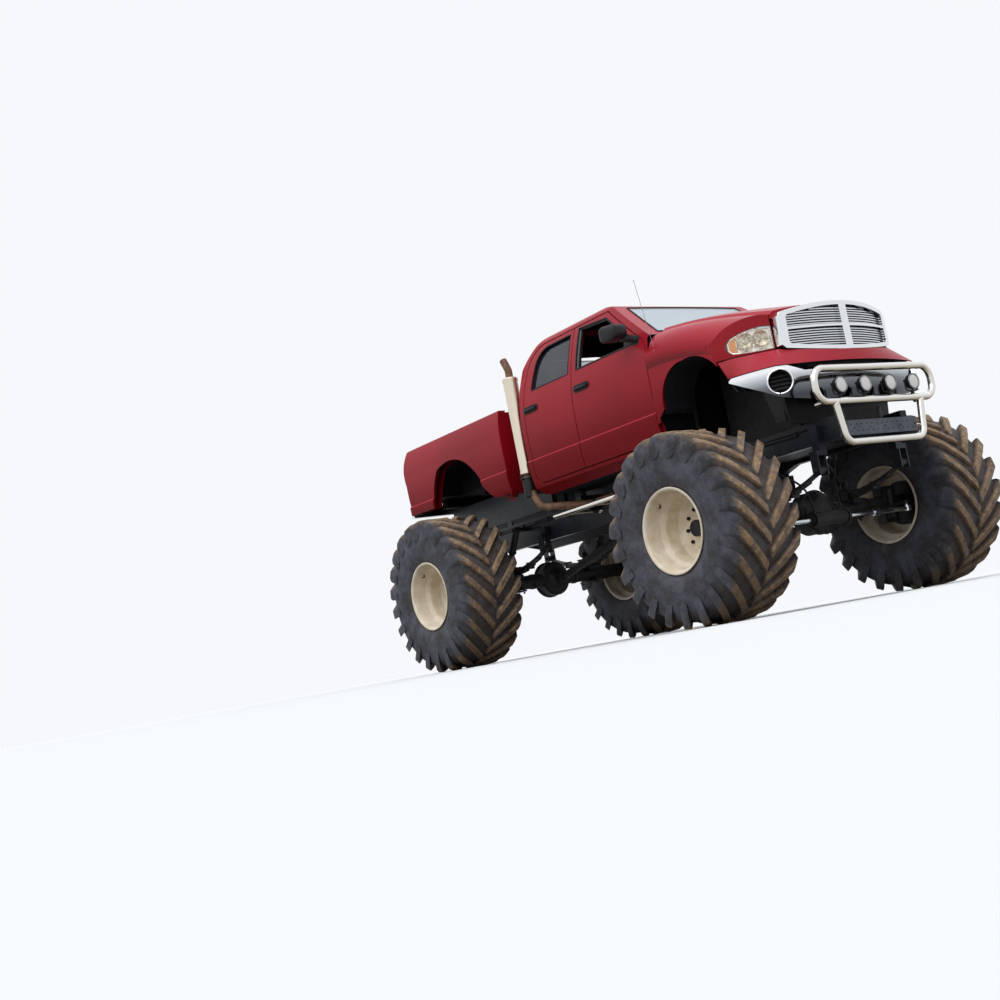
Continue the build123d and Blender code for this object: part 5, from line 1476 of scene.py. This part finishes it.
def makeExhaustDetail():
    x, y, low, high = stack["x"], stack["y"], stack["low"], stack["high"]
    pieces = []
    for z, radius in ((low + 0.004, 0.0635), (high - 0.030, 0.0790)):
        rows = [(z, radius - 0.002), (z, radius + 0.002), (z + 0.022, radius + 0.0025),
                (z + 0.024, radius - 0.002)]
        pieces.append(makeBand("shieldBand", rows, 48))
    seam = [(x - 0.062, y - 0.004, low + 0.02), (x - 0.062, y + 0.004, low + 0.02),
            (x - 0.0785, y + 0.004, high - 0.03), (x - 0.0785, y - 0.004, high - 0.03)]
    pieces.append(flatPiece("shieldSeam", seam, 0.004, (-1, 0, 0)))
    pieces.append(makeBand("shieldCap", [(high - 0.004, 0.040), (high + 0.004, 0.040), (high + 0.004, 0.074),
                                         (high - 0.006, 0.079), (high - 0.010, 0.076)], 48))
    whole = joinPieces(pieces, "shieldTrim")
    smoothShade(whole, 40)
    fit(whole, "shieldSheet", "truck", both=True)
    sleeve = [(-0.030, 0.050), (-0.030, 0.0595), (0.142, 0.0595), (0.142, 0.050)]
    pieces = [makeBand("stackSleeve", sleeve, 40)]
    for z in (0.152, 0.184):
        rows = [(-0.008, 0.057), (-0.008, 0.0615), (0.008, 0.0615), (0.008, 0.057)]
        pieces.append(makeBand("stackClamp", shifted(rows, z), 36))
        pieces.append(softBlock("clampEar", (x - 0.014, y - 0.084, z - 0.008),
                                (x + 0.014, y - 0.056, z + 0.008), 0.003, 2))
    for along in stack["pipes"]:
        rows = [(-0.012, 0.0375), (-0.012, 0.0425), (0.012, 0.0425), (0.012, 0.0375)]
        pieces.append(turnedPiece("pipeClamp", rows, 32, "X", centre=(along, -0.600, -0.222), closed=True))
    pieces.append(softBlock("stackBracket", (-2.560, -0.900, -0.020), (-2.440, -0.800, 0.140), 0.010, 2))
    whole = joinPieces(pieces, "stackClamps")
    smoothShade(whole, 40)
    fit(whole, "castIron", "truck", both=True)


# Bed: floor ribs, packing, rail caps, tailgate handle and lamp ribs; step-bar ends
bed = {"ribPitch": 0.068, "ribs": 8, "lampRibs": (0.470, 0.580, 0.690),
       "stepCap": [(0.0, 0.0235), (0.004, 0.0238), (0.010, 0.020), (0.013, 0.010), (0.0135, 0.002)],
       "stepEnds": ((-2.3295, -0.290, -1), (-1.1505, -0.275, 1)),
       "stepFlange": [(-0.438, 0.030), (-0.427, 0.034), (-0.4255, 0.034)],
       "stepStays": (-2.200, -1.700, -1.250)}


def makeBedDetail():
    pieces = []
    for k in range(-bed["ribs"], bed["ribs"] + 1):
        y = bed["ribPitch"] * k
        pieces.append(blockPiece("bedRib", (-4.790, y - 0.017, 0.3595),
                                 (-2.940, y + 0.017, 0.3705), 0.004, 2))
    floor = joinPieces(pieces, "bedFloorRibs")
    smoothShade(floor, 40)
    fit(floor, "bedEnamel", "truck")
    packing = blockPiece("bedPacking", (-4.780, -0.418, -0.168), (-2.960, -0.376, -0.102), 0.002)
    fit(packing, "blackRubber", "truck", both=True)
    cap = softBlock("bedRailCaps", (-4.786, -0.950, 0.9240), (-2.900, -0.880, 0.9290), 0.002, 2)
    fit(cap, "blackPlastic", "truck", both=True)
    latch = [softBlock("tailgateCup", (-4.8690, -0.125, 0.700), (-4.8600, 0.125, 0.790), 0.004, 2),
             softBlock("tailgateLever", (-4.8750, -0.095, 0.722), (-4.8660, 0.095, 0.764), 0.004, 3)]
    fit(joinPieces(latch, "tailgateHandle"), "blackPlastic", "tailgate")
    pieces = [softBlock("tailLensRib", (-4.8665, -0.986, z - 0.003), (-4.8560, -0.906, z + 0.003), 0.002, 1)
              for z in bed["lampRibs"]]
    fit(joinPieces(pieces, "tailLampRibs"), "redLens", "truck", both=True)
    pieces = [turnedPiece("stepCap", bed["stepCap"], 32, "X", centre=(x, -0.900, z), flip=turn)
              for x, z, turn in bed["stepEnds"]]
    pieces += [turnedPiece("stepFlange", bed["stepFlange"], 28, centre=(x, 0, -0.288), flip=-1)
               for x in bed["stepStays"]]
    whole = joinPieces(pieces, "stepBarEnds")
    smoothShade(whole, 40)
    fit(whole, "polishedStainless", "truck", both=True)


makeExhaustDetail()
makeBedDetail()
print("exhaust and bed")

# Studio: a pale floor, a white surround and one wide overhead light
studio = {"floor": 40.0, "floorColour": "#eef0f1", "floorBounce": "#4c443b",
          "sky": 0.78, "skyColour": "#f4f7fa", "surround": "#f6f8fb",
          "lamp": 1.5, "lampSpread": 70, "lampTurn": (32, 18, 0)}


def seenDirectly(owner):
    # 1 for what the camera sees, straight or by way of metal and glass
    rays = addNode(owner, "LightPath")
    seen = addNode(owner, "Math", {"operation": "MAXIMUM"},
                   {0: (rays, "Is Camera Ray"), 1: (rays, "Is Glossy Ray")})
    return addNode(owner, "Math", {"operation": "MAXIMUM"}, {0: seen, 1: (rays, "Is Transmission Ray")})


def makeStudio():
    clearSelection()
    bpy.ops.mesh.primitive_plane_add(size=studio["floor"], location=(0, 0, 0))
    floor = bpy.context.object
    floor.name = "studioFloor"
    material, shader = newMaterial("paleFloor", {"Roughness": 0.9})
    # pale to the camera, but throwing only as much light up as bare soil does
    tone = addNode(material, "Mix", {"data_type": "RGBA", 6: studio["floorBounce"], 7: studio["floorColour"]},
                   {"Factor": seenDirectly(material)})
    linkInputs(material, shader, {"Base Color": tone})
    floor.data.materials.append(material)
    world = bpy.data.worlds.new("paleSky")
    bpy.context.scene.world = world
    world.use_nodes = True
    back = world.node_tree.nodes["Background"]
    setInputs(back, {"Color": studio["skyColour"], "Strength": studio["sky"]})
    seen = addNode(world, "Background", {"Color": studio["surround"], "Strength": 1.0})
    mix = addNode(world, "MixShader", {}, {0: seenDirectly(world), 1: back, 2: seen})
    linkInputs(world, world.node_tree.nodes["World Output"], {"Surface": mix})
    bpy.ops.object.light_add(type="SUN", rotation=[math.radians(angle) for angle in studio["lampTurn"]])
    sun = bpy.context.object
    sun.name = "softOverhead"
    sun.data.energy = studio["lamp"]
    sun.data.angle = math.radians(studio["lampSpread"])


# Camera: the photograph's side and roll, at floor level
view = {
    "position": (9.97, -8.682, 0.05),
    "right": (0.5432, 0.8213, -0.1742),
    "down": (-0.1935, -0.0794, -0.9779),
    "forward": (-0.817, 0.5649, 0.1157),
    "focalPixels": 1330.09, "imagePixels": 1000, "sensor": 36.0,
}


def makeCamera():
    bpy.ops.object.camera_add()
    camera = bpy.context.object
    camera.name = "photoCamera"
    axes = (Vector(view["right"]), -Vector(view["down"]), -Vector(view["forward"]))
    camera.matrix_world = moved(view["position"]) @ Matrix(axes).transposed().to_4x4()
    camera.data.sensor_fit = "HORIZONTAL"
    camera.data.sensor_width = view["sensor"]
    camera.data.lens = view["sensor"] * view["focalPixels"] / view["imagePixels"]
    camera.data.clip_end = 200
    bpy.context.scene.camera = camera


makeStudio()
makeCamera()
bpy.context.scene.view_settings.view_transform = "Standard"
print("studio and camera")
